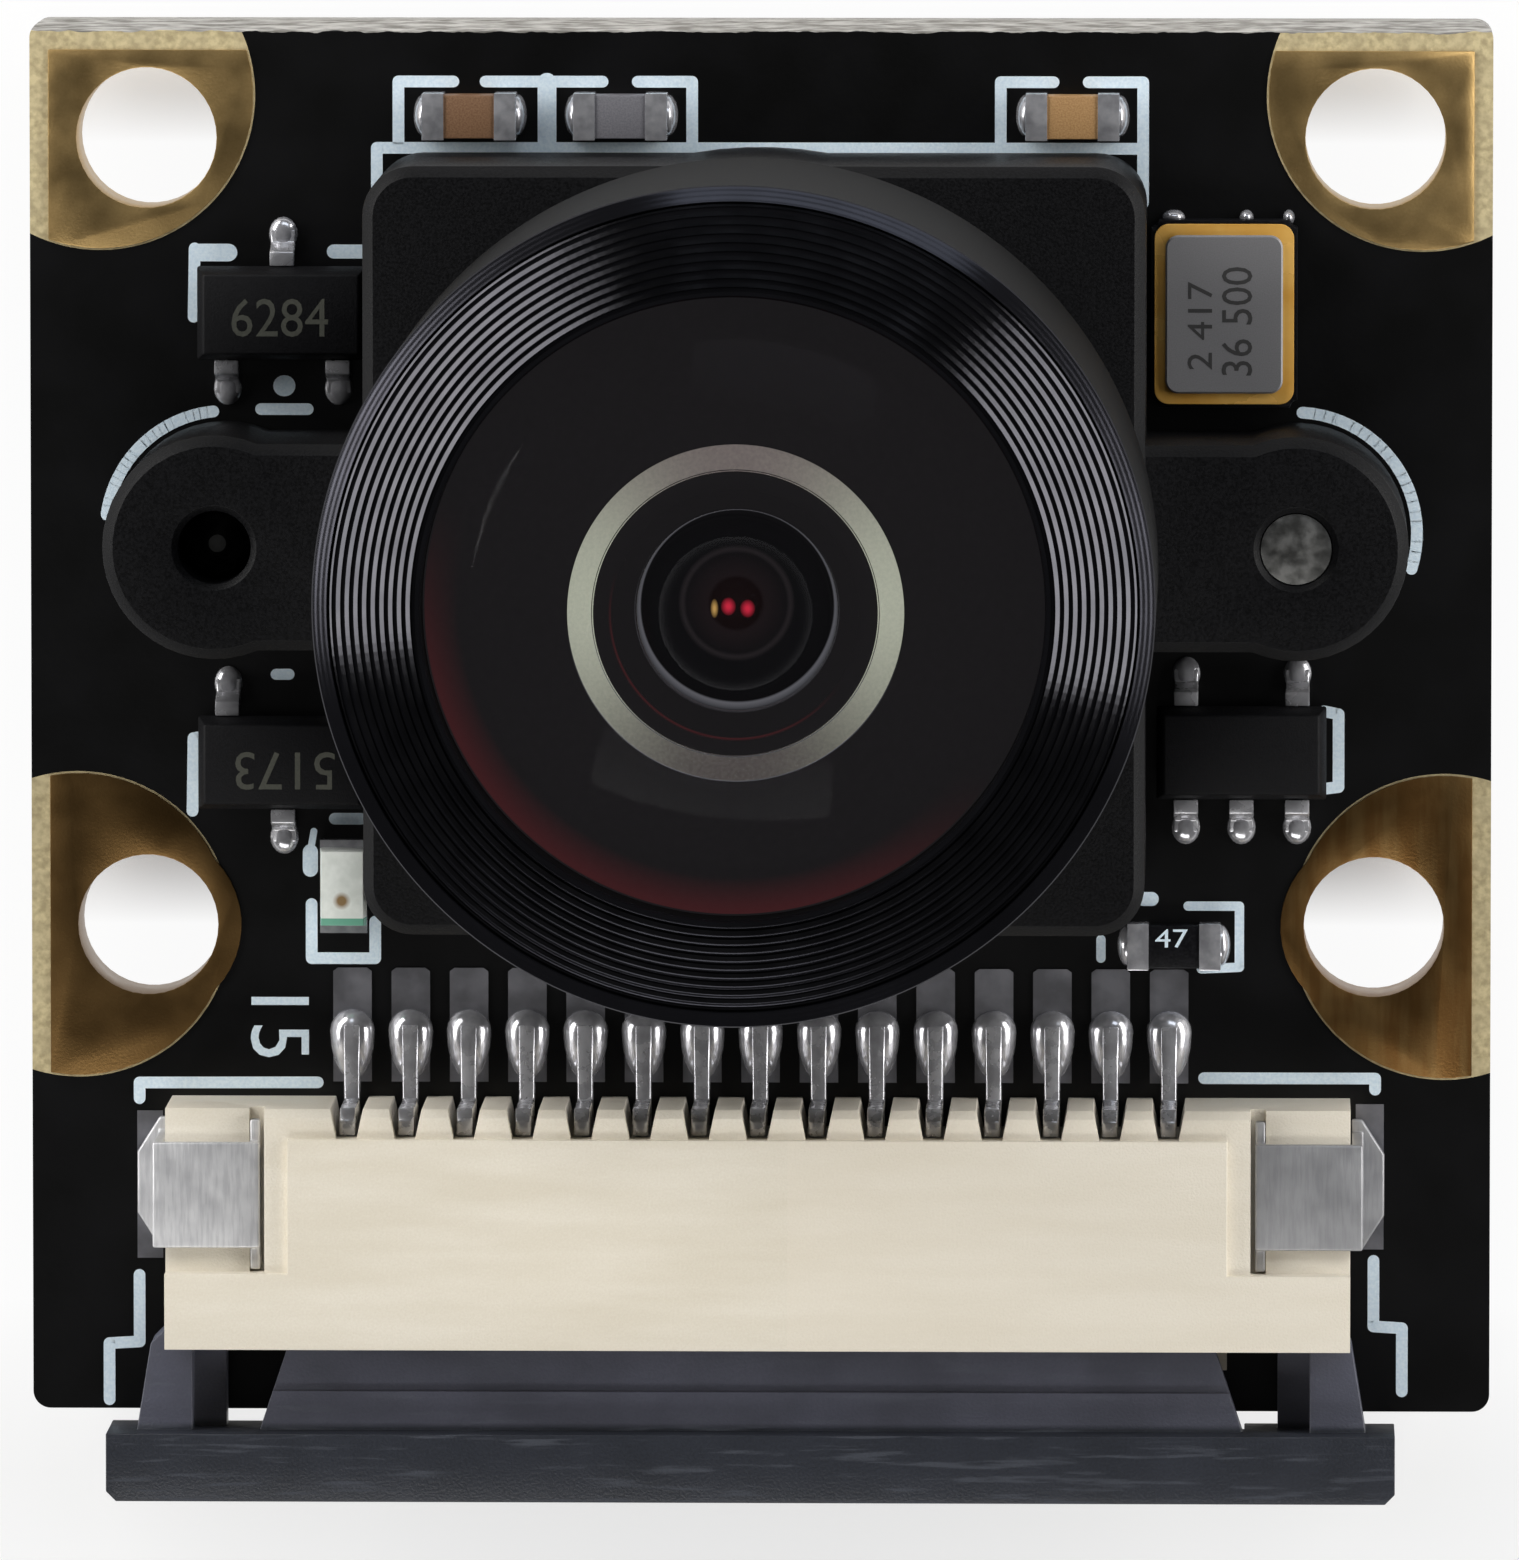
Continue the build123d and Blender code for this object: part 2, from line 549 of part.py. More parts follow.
def lens_barrel():
    """Turned barrel: wide head, threaded shank, and a bore stepped for the glass."""
    outside = [
        (REAR_LIP_RADIUS, SHANK_REAR),
        (THREAD_RADIUS - BARREL_CHAMFER, SHANK_REAR),
        (THREAD_RADIUS, SHANK_REAR + BARREL_CHAMFER),
        (THREAD_RADIUS, HEAD_REAR),
        (HEAD_RADIUS - BARREL_CHAMFER, HEAD_REAR),
        (HEAD_RADIUS, HEAD_REAR + BARREL_CHAMFER),
        (HEAD_RADIUS, HEAD_TOP),
    ]
    bore = [
        (RING_THREAD_RADIUS, HEAD_TOP),
        (RING_THREAD_RADIUS, HEAD_TOP - RING_THREAD_LENGTH),
        (FRONT_BORE_RADIUS, HEAD_TOP - RING_THREAD_LENGTH),
        (FRONT_BORE_RADIUS, FRONT_GLASS_LOW),
        (STEPPED_BORE_RADIUS, FRONT_GLASS_LOW),
        (STEPPED_BORE_RADIUS, SECOND_GLASS_LOW),
        (INNER_BORE_RADIUS, SECOND_GLASS_LOW),
        (INNER_BORE_RADIUS, FILTER_LOW),
        (REAR_LIP_RADIUS, FILTER_LOW),
    ]
    return turned_polygon(outside + bore)


def groove_points():
    """Crest and root of each glare groove on the conical face, from the outside to the inside."""
    outer = HEAD_RADIUS - RING_CHAMFER_WIDTH
    inner = RING_INNER_RADIUS + RING_FLAT_WIDTH
    steps = 2 * GROOVE_COUNT
    points = []
    for index in range(steps + 1):
        share = index / steps
        radius = outer + share * (inner - outer)
        height = RING_OUTER_TOP + share * RING_FACE_RISE
        drop = GROOVE_DEPTH if index % 2 else 0
        points.append((radius, height - drop))
    return points


def front_retaining_ring():
    """Ring screwed into the head: a chamfered rim, turned grooves and a lip over the glass."""
    spigot_rear = HEAD_TOP - RING_THREAD_LENGTH + THREAD_CLEARANCE
    outside = [
        (FRONT_BORE_RADIUS, spigot_rear),
        (RING_SPIGOT_RADIUS, spigot_rear),
        (RING_SPIGOT_RADIUS, HEAD_TOP),
        (HEAD_RADIUS, HEAD_TOP),
        (HEAD_RADIUS, RING_OUTER_TOP - RING_CHAMFER_DROP),
    ]
    inside = [
        (RING_INNER_RADIUS, RING_INNER_TOP),
        (RING_INNER_RADIUS, RING_LIP),
        (FRONT_BORE_RADIUS, RING_LIP),
    ]
    return turned_polygon(outside + groove_points() + inside)


def front_element():
    """Large domed glass with a deep hollow behind, ground to a pale bevel round its rim."""
    bevel_top = FRONT_GLASS_LOW + HOLLOW_BEVEL_DEPTH
    dome = arc_on_axis(FRONT_DOME_RADIUS, RING_LIP, FRONT_DOME_CURVE)
    hollow = arc_on_axis(HOLLOW_RADIUS, bevel_top, HOLLOW_RADIUS + HOLLOW_EXTRA_CURVE)
    rim = [
        (FRONT_GLASS_RADIUS, RING_LIP),
        (FRONT_GLASS_RADIUS, FRONT_GLASS_LOW),
        (HOLLOW_RADIUS + HOLLOW_BEVEL_WIDTH, FRONT_GLASS_LOW),
    ]
    return turned_glass(dome, rim, hollow)


def second_element():
    """Meniscus seated on the step of the bore."""
    upper_edge = HOLLOW_RADIUS + SECOND_DOME_PAST_HOLLOW
    lower_edge = upper_edge - SPACER_WALL
    upper = arc_on_axis(upper_edge, FRONT_SPACER_LOW, SECOND_GLASS_CURVE)
    lower = arc_on_axis(lower_edge, SECOND_GLASS_LOW, SECOND_GLASS_CURVE)
    rim = [
        (STEPPED_GLASS_RADIUS, FRONT_SPACER_LOW),
        (STEPPED_GLASS_RADIUS, SECOND_GLASS_LOW),
    ]
    return turned_glass(upper, rim, lower)


def inner_glass(low, edge_height, curve, domed_front):
    """A glass in the narrow bore: one face arched forwards, the other flat."""
    edge = INNER_BORE_RADIUS - 2 * SPACER_WALL
    high = low + edge_height
    rim = [(INNER_GLASS_RADIUS, high), (INNER_GLASS_RADIUS, low)]
    if domed_front:
        return turned_glass(arc_on_axis(edge, high, curve), rim, flat_on_axis(edge, low))
    return turned_glass(flat_on_axis(edge, high), rim, arc_on_axis(edge, low, curve))


def disc(radius, low, high, hole):
    """A round plate or ring on the lens axis."""
    plate = cylinder(0, 0, radius, z_of(low), z_of(high))
    if hole:
        plate -= cylinder(0, 0, hole, z_of(low) - CUT, z_of(high) + CUT)
    return plate


def lens_stack():
    """Glass, spacers, stop and filter inside the barrel, by name."""
    return {
        "front_element": front_element(),
        "front_spacer": disc(
            STEPPED_GLASS_RADIUS, FRONT_SPACER_LOW, FRONT_GLASS_LOW, STEPPED_GLASS_RADIUS - SPACER_WALL
        ),
        "second_element": second_element(),
        "middle_spacer": disc(
            INNER_GLASS_RADIUS, MIDDLE_SPACER_LOW, SECOND_GLASS_LOW, INNER_GLASS_RADIUS - SPACER_WALL
        ),
        "third_element": inner_glass(THIRD_GLASS_LOW, THIRD_GLASS_EDGE, THIRD_GLASS_CURVE, True),
        "aperture_stop": disc(INNER_GLASS_RADIUS, STOP_LOW, THIRD_GLASS_LOW, STOP_HOLE_RADIUS),
        "rear_element": inner_glass(REAR_GLASS_LOW, REAR_GLASS_EDGE, REAR_GLASS_CURVE, False),
        "rear_spacer": disc(
            INNER_GLASS_RADIUS, REAR_SPACER_LOW, REAR_GLASS_LOW, INNER_GLASS_RADIUS - SPACER_WALL
        ),
        "field_element": inner_glass(FIELD_GLASS_LOW, FIELD_GLASS_EDGE, FIELD_GLASS_CURVE, False),
        "infrared_filter": disc(INNER_GLASS_RADIUS, FILTER_LOW, FIELD_GLASS_LOW, None),
    }


def contact_places():
    """X of each contact, from left to right."""
    return [index * CONTACT_PITCH - ROW_HALF for index in range(CONTACT_COUNT)]


def notch(x):
    """Tapered opening in the rear wall that a contact comes out through."""
    narrow = CONTACT_WIDTH / 2 + NOTCH_SIDE_GAP
    wide = narrow + NOTCH_FLARE
    front = SLOT_REAR - CONTACT_SEAT_GAP
    outline = [
        (wide, HOUSING_REAR + CUT),
        (wide, HOUSING_REAR),
        (narrow, SLOT_REAR),
        (narrow, front),
        (-narrow, front),
        (-narrow, SLOT_REAR),
        (-wide, HOUSING_REAR),
        (-wide, HOUSING_REAR + CUT),
    ]
    return prism_up(mirrored(outline, 1, x), z_of(0) - CUT, z_of(HOUSING_TOP) + CUT)


def housing_end_cuts(side):
    """Cuts at one end: the tab's pocket, the slot for its leg, and the recess for the lock's arm."""
    outer = HOUSING_HALF_WIDTH + CUT
    rear = HOUSING_REAR + CUT
    recess_rear = HOUSING_FRONT + ARM_REACH + LOCK_TRAVEL + ARM_END_ROOM
    slot_low = SLOT_CEILING + END_SLOT_FLOOR
    cuts = [
        (END_SLOT_INNER, outer, POCKET_FRONT, rear, POCKET_FLOOR, HOUSING_TOP + CUT),
        (END_SLOT_INNER, END_SLOT_OUTER, POCKET_FRONT, rear, slot_low, POCKET_FLOOR + CUT),
        (ARM_RECESS_INNER, outer, HOUSING_FRONT - CUT, recess_rear, -CUT, SLOT_CEILING),
    ]
    solids = []
    for inner, far, y_low, y_high, low, high in cuts:
        x_low, x_high = sorted((side * inner, side * far))
        solids.append(block(x_low, x_high, y_low, y_high, z_of(low), z_of(high)))
    return solids


def housing_shell():
    """The housing's outer form: chamfered rear, raised middle, front bar and the lip under the cable."""
    half = HOUSING_HALF_WIDTH
    profile = [
        (HOUSING_FRONT, 0),
        (HOUSING_REAR, 0),
        (HOUSING_REAR, HOUSING_TOP - REAR_CHAMFER),
        (HOUSING_REAR - REAR_CHAMFER, HOUSING_TOP),
        (HOUSING_FRONT, HOUSING_TOP),
    ]
    shell = prism_across(profile, -half, half)
    top = z_of(HOUSING_TOP)
    raised = top + PLATEAU_RISE
    cable = CABLE_HALF_WIDTH
    shell += block(-cable, cable, HOUSING_FRONT, HOUSING_REAR - PLATEAU_SETBACK, top, raised)
    shell += block(-half, half, HOUSING_FRONT, POCKET_FRONT, top, raised)
    lip_front = HOUSING_FRONT - FRONT_LIP_LENGTH
    return shell + block(-cable, cable, lip_front, HOUSING_FRONT, z_of(0), z_of(SLOT_FLOOR))


def connector_housing():
    """Moulded housing: cable slot, contact notches, and pockets for the metal tabs and lock arms."""
    housing = housing_shell()
    wide = SLOT_HALF_WIDTH
    middle = ROW_HALF + CONTACT_SIDE_ROOM
    mouth = HOUSING_FRONT - CUT
    housing -= block(-wide, wide, mouth, SLOT_REAR, z_of(SLOT_FLOOR), z_of(SLOT_CEILING))
    housing -= block(-middle, middle, mouth, SLOT_REAR, z_of(SLOT_FLOOR), z_of(CONTACT_CEILING))
    for x in contact_places():
        housing -= notch(x)
    for side in (-1, 1):
        for cut in housing_end_cuts(side):
            housing -= cut
    return housing


def contact(x):
    """Blanked fork contact: solder foot, heel in the notch, and two beams along the cable slot."""
    rear = HOUSING_REAR - CONTACT_SEAT_GAP
    heel = CONTACT_CEILING + CONTACT_HEEL_RISE
    inside = SLOT_REAR - CONTACT_BEAM
    lower_tip = HOUSING_FRONT + LOWER_BEAM_SETBACK
    upper_tip = HOUSING_FRONT + UPPER_BEAM_SETBACK
    lower_top = SLOT_FLOOR + CONTACT_BEAM
    upper_top = CONTACT_CEILING - CONTACT_SEAT_GAP
    outline = [
        (CONTACT_TOE, 0),
        (SLOT_REAR, 0),
        (SLOT_REAR, SLOT_FLOOR),
        (lower_tip, SLOT_FLOOR),
        (lower_tip, lower_top - CONTACT_BEAM / 2),
        (lower_tip + CONTACT_BUMP, lower_top + CONTACT_BUMP),
        (lower_tip + 3 * CONTACT_BUMP, lower_top),
        (inside, lower_top),
        (inside, upper_top - CONTACT_BEAM),
        (upper_tip, upper_top - CONTACT_BEAM),
        (upper_tip, upper_top),
        (SLOT_REAR, upper_top),
        (SLOT_REAR, heel),
        (rear - CONTACT_BEAM, heel),
        (rear, heel - CONTACT_BEAM),
        (rear, CONTACT_FOOT_THICKNESS),
        (CONTACT_TOE, CONTACT_FOOT_THICKNESS),
    ]
    return prism_across(outline, x - CONTACT_WIDTH / 2, x + CONTACT_WIDTH / 2)


def hold_down(side):
    """Stamped tab: plate on the end block, a leg each side, and a solder foot turned outwards."""
    plate_top = POCKET_FLOOR + TAB_THICKNESS
    inner_face = HOUSING_HALF_WIDTH + TAB_SIDE_GAP
    outer_face = inner_face + TAB_THICKNESS
    leg_low = SLOT_CEILING + END_SLOT_FLOOR + TAB_LEG_GAP
    rear = HOUSING_REAR - TAB_REAR_GAP
    front = POCKET_FRONT + TAB_FRONT_GAP
    profile = [
        (END_SLOT_OUTER - TAB_THICKNESS, leg_low),
        (END_SLOT_OUTER, leg_low),
        (END_SLOT_OUTER, POCKET_FLOOR),
        (inner_face, POCKET_FLOOR),
        (inner_face, 0),
        (outer_face, 0),
        (outer_face, plate_top),
        (END_SLOT_OUTER - TAB_THICKNESS, plate_top),
    ]
    tab = prism_along(mirrored(profile, side), front, rear)
    leg = [
        (END_SLOT_OUTER - TAB_THICKNESS, leg_low),
        (END_SLOT_OUTER, leg_low),
        (END_SLOT_OUTER, POCKET_FLOOR),
        (END_SLOT_OUTER - TAB_THICKNESS, POCKET_FLOOR),
    ]
    tab += prism_along(mirrored(leg, side), front - TAB_LEG_OVERHANG, rear + TAB_LEG_OVERHANG)
    toe = outer_face + TAB_FOOT_REACH
    slope = TAB_FOOT_REACH + TAB_FOOT_OVERHANG
    foot = [
        (inner_face, front - TAB_FOOT_OVERHANG),
        (outer_face, front - TAB_FOOT_OVERHANG),
        (toe, front - TAB_FOOT_OVERHANG + slope),
        (toe, rear + TAB_FOOT_OVERHANG - slope),
        (outer_face, rear + TAB_FOOT_OVERHANG),
        (inner_face, rear + TAB_FOOT_OVERHANG),
    ]
    return tab + prism_up(mirrored(foot, side), z_of(0), z_of(TAB_THICKNESS))


def lock_bar():
    """The pull bar, hollowed underneath where the cable passes."""
    half = LOCK_BAR_HALF_WIDTH
    front = LOCK_BAR_REAR - LOCK_BAR_DEPTH
    outline = [
        (-half, LOCK_BAR_REAR),
        (half, LOCK_BAR_REAR),
        (half, front + LOCK_BAR_CHAMFER),
        (half - LOCK_BAR_CHAMFER, front),
        (LOCK_BAR_CHAMFER - half, front),
        (-half, front + LOCK_BAR_CHAMFER),
    ]
    top = z_of(TONGUE_TOP + LOCK_BAR_RISE)
    bar = prism_up(mirrored(outline, 1, LOCK_SIDE_SHIFT), z_of(LOCK_BAR_LOW), top)
    window = CABLE_HALF_WIDTH + CABLE_WINDOW_ROOM
    return bar - block(-window, window, front - CUT, LOCK_BAR_REAR + CUT, z_of(0), z_of(TONGUE_LOW))


def lock_tongue():
    """The tapered, stepped tongue that slides into the cable slot, bevelled underneath at its tip."""
    root = TONGUE_ROOT_HALF_WIDTH
    narrow = root - TONGUE_TAPER
    tip = HOUSING_FRONT + TONGUE_REACH
    outline = [
        (-root, LOCK_BAR_REAR),
        (root, LOCK_BAR_REAR),
        (narrow, HOUSING_FRONT),
        (narrow, tip),
        (-narrow, tip),
        (-narrow, HOUSING_FRONT),
    ]
    tongue = prism_up(mirrored(outline, 1, LOCK_SIDE_SHIFT), z_of(TONGUE_LOW), z_of(TONGUE_TOP))
    wide = root + CUT
    step_rear = LOCK_BAR_REAR + TONGUE_STEP_LENGTH
    tongue -= block(-wide, wide, step_rear, tip + CUT, z_of(TONGUE_TOP - TONGUE_STEP), z_of(TONGUE_TOP) + CUT)
    bevel = [
        (tip - TONGUE_TIP_BEVEL, TONGUE_LOW),
        (tip, TONGUE_LOW + TONGUE_TIP_BEVEL),
        (tip + CUT, TONGUE_LOW + TONGUE_TIP_BEVEL),
        (tip + CUT, TONGUE_LOW - CUT),
        (tip - TONGUE_TIP_BEVEL, TONGUE_LOW - CUT),
    ]
    return tongue - prism_across(bevel, -wide, wide)


def lock_arm(side):
    """One stepped arm that guides the lock in the housing's side recess."""
    tip = HOUSING_FRONT + ARM_REACH
    upper = [
        (ARM_INNER, LOCK_BAR_REAR),
        (ARM_INNER + ARM_ROOT_WIDTH, LOCK_BAR_REAR),
        (ARM_INNER + ARM_FRONT_WIDTH, HOUSING_FRONT),
        (ARM_INNER + ARM_TIP_WIDTH, tip),
        (ARM_INNER, tip),
    ]
    lower = [
        (LOWER_ARM_INNER, LOCK_BAR_REAR),
        (ARM_INNER, LOCK_BAR_REAR),
        (ARM_INNER, tip),
        (LOWER_ARM_INNER, tip),
    ]
    arm = prism_up(mirrored(upper, side, LOCK_SIDE_SHIFT), z_of(ARM_LOW), z_of(TONGUE_TOP))
    return arm + prism_up(mirrored(lower, side, LOCK_SIDE_SHIFT), z_of(ARM_LOW), z_of(LOWER_ARM_HEIGHT))


def slide_lock():
    """Sliding actuator: pull bar, tongue and two guide arms, moulded in one."""
    return lock_bar() + lock_tongue() + lock_arm(-1) + lock_arm(1)


def chip_body(at, height, upright=False):
    """Ceramic body of a two-ended chip, inside its metal ends."""
    x, y = at
    half_length = CHIP_LENGTH / 2 - CHIP_END_SKIN
    half_width = CHIP_WIDTH / 2 - CHIP_END_SKIN
    half_x = half_width if upright else half_length
    half_y = half_length if upright else half_width
    low = z_of(CHIP_END_SKIN)
    high = z_of(height - CHIP_END_SKIN)
    return block(x - half_x, x + half_x, y - half_y, y + half_y, low, high)


def chip_ends(at, height, upright=False):
    """Two plated caps that wrap the ends of a chip."""
    x, y = at
    body = chip_body(at, height, upright)
    caps = []
    for side in (-1, 1):
        offset = side * (CHIP_LENGTH - CHIP_END) / 2
        cap_x = x if upright else x + offset
        cap_y = y + offset if upright else y
        half_x = (CHIP_WIDTH if upright else CHIP_END) / 2
        half_y = (CHIP_END if upright else CHIP_WIDTH) / 2
        cap = block(cap_x - half_x, cap_x + half_x, cap_y - half_y, cap_y + half_y, z_of(0), z_of(height))
        caps.append(cap - body)
    return Compound(caps)


def led_lens():
    """Clear resin block on the indicator's base, with drafted sides."""
    x, y = LED_AT
    low = LED_BASE_HEIGHT - CHIP_END_SKIN
    outline = Pos(x, y, z_of(low)) * Rectangle(CHIP_WIDTH, LED_LENS_LENGTH)
    lens = extrude(outline, LED_LENS_HEIGHT - low, taper=LED_LENS_DRAFT)
    return lens - chip_ends(LED_AT, LED_BASE_HEIGHT, True)


def sot_body(at):
    """Moulded package: two drafted halves that meet at the lead line."""
    x, y = at
    inset = 2 * SOT_DRAFT
    line = Plane((x, y, z_of(LEAD_EXIT_HEIGHT))) * Rectangle(SOT_LENGTH, SOT_WIDTH)
    top = Plane((x, y, z_of(SOT_HEIGHT))) * Rectangle(SOT_LENGTH - inset, SOT_WIDTH - inset)
    bottom = Plane((x, y, z_of(SOT_LIFT))) * Rectangle(SOT_LENGTH - inset, SOT_WIDTH - inset)
    return loft([bottom, line]) + loft([line, top])


def gull_lead(x, y_body, outward):
    """One lead that leaves the body level, bends down and ends in a flat foot on the board."""
    half_t = LEAD_THICKNESS / 2
    shoulder = LEAD_SPREAD - LEAD_FOOT
    outline = [
        (0, LEAD_EXIT_HEIGHT - half_t),
        (shoulder - LEAD_THICKNESS, LEAD_EXIT_HEIGHT - half_t),
        (shoulder, 0),
        (LEAD_SPREAD, 0),
        (LEAD_SPREAD, LEAD_THICKNESS),
        (shoulder + LEAD_THICKNESS, LEAD_THICKNESS),
        (shoulder, LEAD_EXIT_HEIGHT + half_t),
        (0, LEAD_EXIT_HEIGHT + half_t),
    ]
    return prism_across(mirrored(outline, outward, y_body), x - LEAD_WIDTH / 2, x + LEAD_WIDTH / 2)


def sot_leads(at, up_offsets, down_offsets):
    """All leads of one package, given their offsets along it on each side."""
    x, y = at
    half = SOT_WIDTH / 2
    leads = [gull_lead(x + offset, y + half, 1) for offset in up_offsets]
    leads += [gull_lead(x + offset, y - half, -1) for offset in down_offsets]
    return Compound(leads)


def oscillator_layer(margin, low, height):
    """One layer of the metal-lidded oscillator, inset by a margin."""
    x, y = OSCILLATOR_AT
    half_x = OSCILLATOR_WIDTH / 2 - margin
    half_y = OSCILLATOR_LENGTH / 2 - margin
    return block(x - half_x, x + half_x, y - half_y, y + half_y, z_of(low), z_of(low + height))


def oscillator_base():
    """Black ceramic tub, with a groove down each corner."""
    x, y = OSCILLATOR_AT
    tub = oscillator_layer(0, 0, OSCILLATOR_BASE_HEIGHT)
    top = z_of(OSCILLATOR_BASE_HEIGHT) + CUT
    for side in (-1, 1):
        for level in (-1, 1):
            corner = (x + side * OSCILLATOR_WIDTH / 2, y + level * OSCILLATOR_LENGTH / 2)
            tub -= cylinder(*corner, OSCILLATOR_LID_MARGIN / 2, z_of(0) - CUT, top)
    return tub


def oscillator_seal_ring():
    """Gold-plated seal band on top of the tub."""
    band = oscillator_layer(OSCILLATOR_RING_MARGIN, OSCILLATOR_BASE_HEIGHT, OSCILLATOR_RING_HEIGHT)
    return fillet(band.edges().filter_by(Axis.Z), OSCILLATOR_LID_MARGIN)


def oscillator_lid():
    """Thin metal lid welded on the band."""
    low = OSCILLATOR_BASE_HEIGHT + OSCILLATOR_RING_HEIGHT
    lid = oscillator_layer(OSCILLATOR_LID_MARGIN, low, OSCILLATOR_LID_HEIGHT)
    return fillet(lid.edges().filter_by(Axis.Z), OSCILLATOR_LID_MARGIN / 2)


def small_part_nodes():
    """Chips, indicator, oscillator and moulded packages, by name."""
    chips = [
        ("capacitor_left", CAPACITOR_LEFT_AT, CHIP_HEIGHT),
        ("ferrite_bead", BEAD_AT, CHIP_HEIGHT),
        ("capacitor_right", CAPACITOR_RIGHT_AT, CHIP_HEIGHT),
        ("resistor", RESISTOR_AT, RESISTOR_HEIGHT),
    ]
    pair = (-SOT_PITCH, SOT_PITCH)
    triple = (-SOT_PITCH, 0, SOT_PITCH)
    packages = [
        ("regulator_upper", REGULATOR_UPPER_AT, (0,), pair),
        ("regulator_lower", REGULATOR_LOWER_AT, pair, (0,)),
        ("regulator_right", REGULATOR_RIGHT_AT, pair, triple),
    ]
    nodes = {}
    for name, at, height in chips:
        nodes[name + "_body"] = chip_body(at, height)
        nodes[name + "_ends"] = chip_ends(at, height)
    for name, at, up, down in packages:
        nodes[name + "_body"] = sot_body(at)
        nodes[name + "_leads"] = sot_leads(at, up, down)
    nodes["indicator_led_base"] = chip_body(LED_AT, LED_BASE_HEIGHT, True)
    nodes["indicator_led_ends"] = chip_ends(LED_AT, LED_BASE_HEIGHT, True)
    nodes["indicator_led_lens"] = led_lens()
    nodes["oscillator_base"] = oscillator_base()
    nodes["oscillator_seal_ring"] = oscillator_seal_ring()
    nodes["oscillator_lid"] = oscillator_lid()
    return nodes


def connector_nodes():
    """Housing, contacts, hold-down tabs and slide lock, by name."""
    nodes = {
        "connector_housing": connector_housing(),
        "hold_down_left": hold_down(-1),
        "hold_down_right": hold_down(1),
        "slide_lock": slide_lock(),
    }
    for number, x in enumerate(contact_places(), start=1):
        nodes[f"contact_{number:02d}"] = contact(x)
    return nodes


def all_nodes():
    """Every piece of the module, by name."""
    nodes = {
        "circuit_board": circuit_board(),
        "mounting_lands": mounting_lands(),
        "lens_holder": lens_holder(),
        "holder_screws": holder_screws(),
        "image_sensor": image_sensor(),
        "sensor_cover_glass": sensor_cover_glass(),
        "lens_barrel": lens_barrel(),
        "front_retaining_ring": front_retaining_ring(),
    }
    nodes.update(lens_stack())
    nodes.update(connector_nodes())
    nodes.update(small_part_nodes())
    return nodes


for name, shape in all_nodes().items():
    export_step(shape, f"parts/{name}.step")
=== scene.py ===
# %% [markdown]
# # A camera module, dressed for its photograph
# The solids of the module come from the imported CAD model. This lesson gives each of them the
# finish of the real part, and adds what a solid model leaves out: ink, solder, threads, the
# coatings of the lens and soft moulded edges. Every length is written in millimetres and turned
# to metres in one place.

import json
from math import cos, pi, radians, sin, sqrt, tan

import bmesh
import bpy
from mathutils import Matrix, Vector

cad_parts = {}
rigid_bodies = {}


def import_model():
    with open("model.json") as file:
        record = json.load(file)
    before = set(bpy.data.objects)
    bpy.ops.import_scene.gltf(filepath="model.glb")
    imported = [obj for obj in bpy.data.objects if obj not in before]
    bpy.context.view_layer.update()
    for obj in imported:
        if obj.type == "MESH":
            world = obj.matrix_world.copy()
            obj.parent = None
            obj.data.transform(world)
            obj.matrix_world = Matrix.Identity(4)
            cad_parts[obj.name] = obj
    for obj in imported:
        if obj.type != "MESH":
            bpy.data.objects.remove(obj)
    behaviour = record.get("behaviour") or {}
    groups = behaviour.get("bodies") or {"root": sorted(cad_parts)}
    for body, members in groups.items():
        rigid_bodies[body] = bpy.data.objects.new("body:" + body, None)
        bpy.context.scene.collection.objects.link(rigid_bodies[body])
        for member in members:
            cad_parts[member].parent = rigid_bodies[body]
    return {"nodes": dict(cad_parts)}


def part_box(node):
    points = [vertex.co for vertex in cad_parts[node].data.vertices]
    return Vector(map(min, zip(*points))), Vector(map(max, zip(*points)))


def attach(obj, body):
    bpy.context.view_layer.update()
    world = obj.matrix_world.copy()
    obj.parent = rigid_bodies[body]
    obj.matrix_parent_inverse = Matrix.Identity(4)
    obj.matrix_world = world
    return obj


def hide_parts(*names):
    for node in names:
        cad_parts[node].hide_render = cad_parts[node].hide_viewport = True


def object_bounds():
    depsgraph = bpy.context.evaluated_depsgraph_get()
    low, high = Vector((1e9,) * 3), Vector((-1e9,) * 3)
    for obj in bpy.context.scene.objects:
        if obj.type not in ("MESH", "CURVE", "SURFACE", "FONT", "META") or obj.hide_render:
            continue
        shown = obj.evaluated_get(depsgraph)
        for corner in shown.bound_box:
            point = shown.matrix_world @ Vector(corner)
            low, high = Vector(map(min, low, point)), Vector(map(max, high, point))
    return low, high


for leftover in list(bpy.data.objects):
    bpy.data.objects.remove(leftover)

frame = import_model()
CAD_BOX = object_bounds()
MM = 0.001

# %% [markdown]
# ## The camera
# The photograph looks down on the lens side from far away with a long lens. The lens head hides
# more of the board below it than above it, so the camera leans a little towards the top edge and
# a little to the right. The mounting holes give the scale, and how far the tall parts shift gives
# the lean. A camera that looks along that line of sight needs no lens shift.

# %% Camera
IMAGE_LONG_SIDE = 1560
PIXELS_PER_MM = 58.4
CAMERA_DISTANCE = 334.2
LEAN_TO_TOP = 0.083
LEAN_TO_RIGHT = 0.0257
PICTURE_CENTRE = Vector((-0.02, -4.25, 1.6))
SENSOR_SIZE = 36.0
CLIP_NEAR = 0.01
CLIP_FAR = 10.0

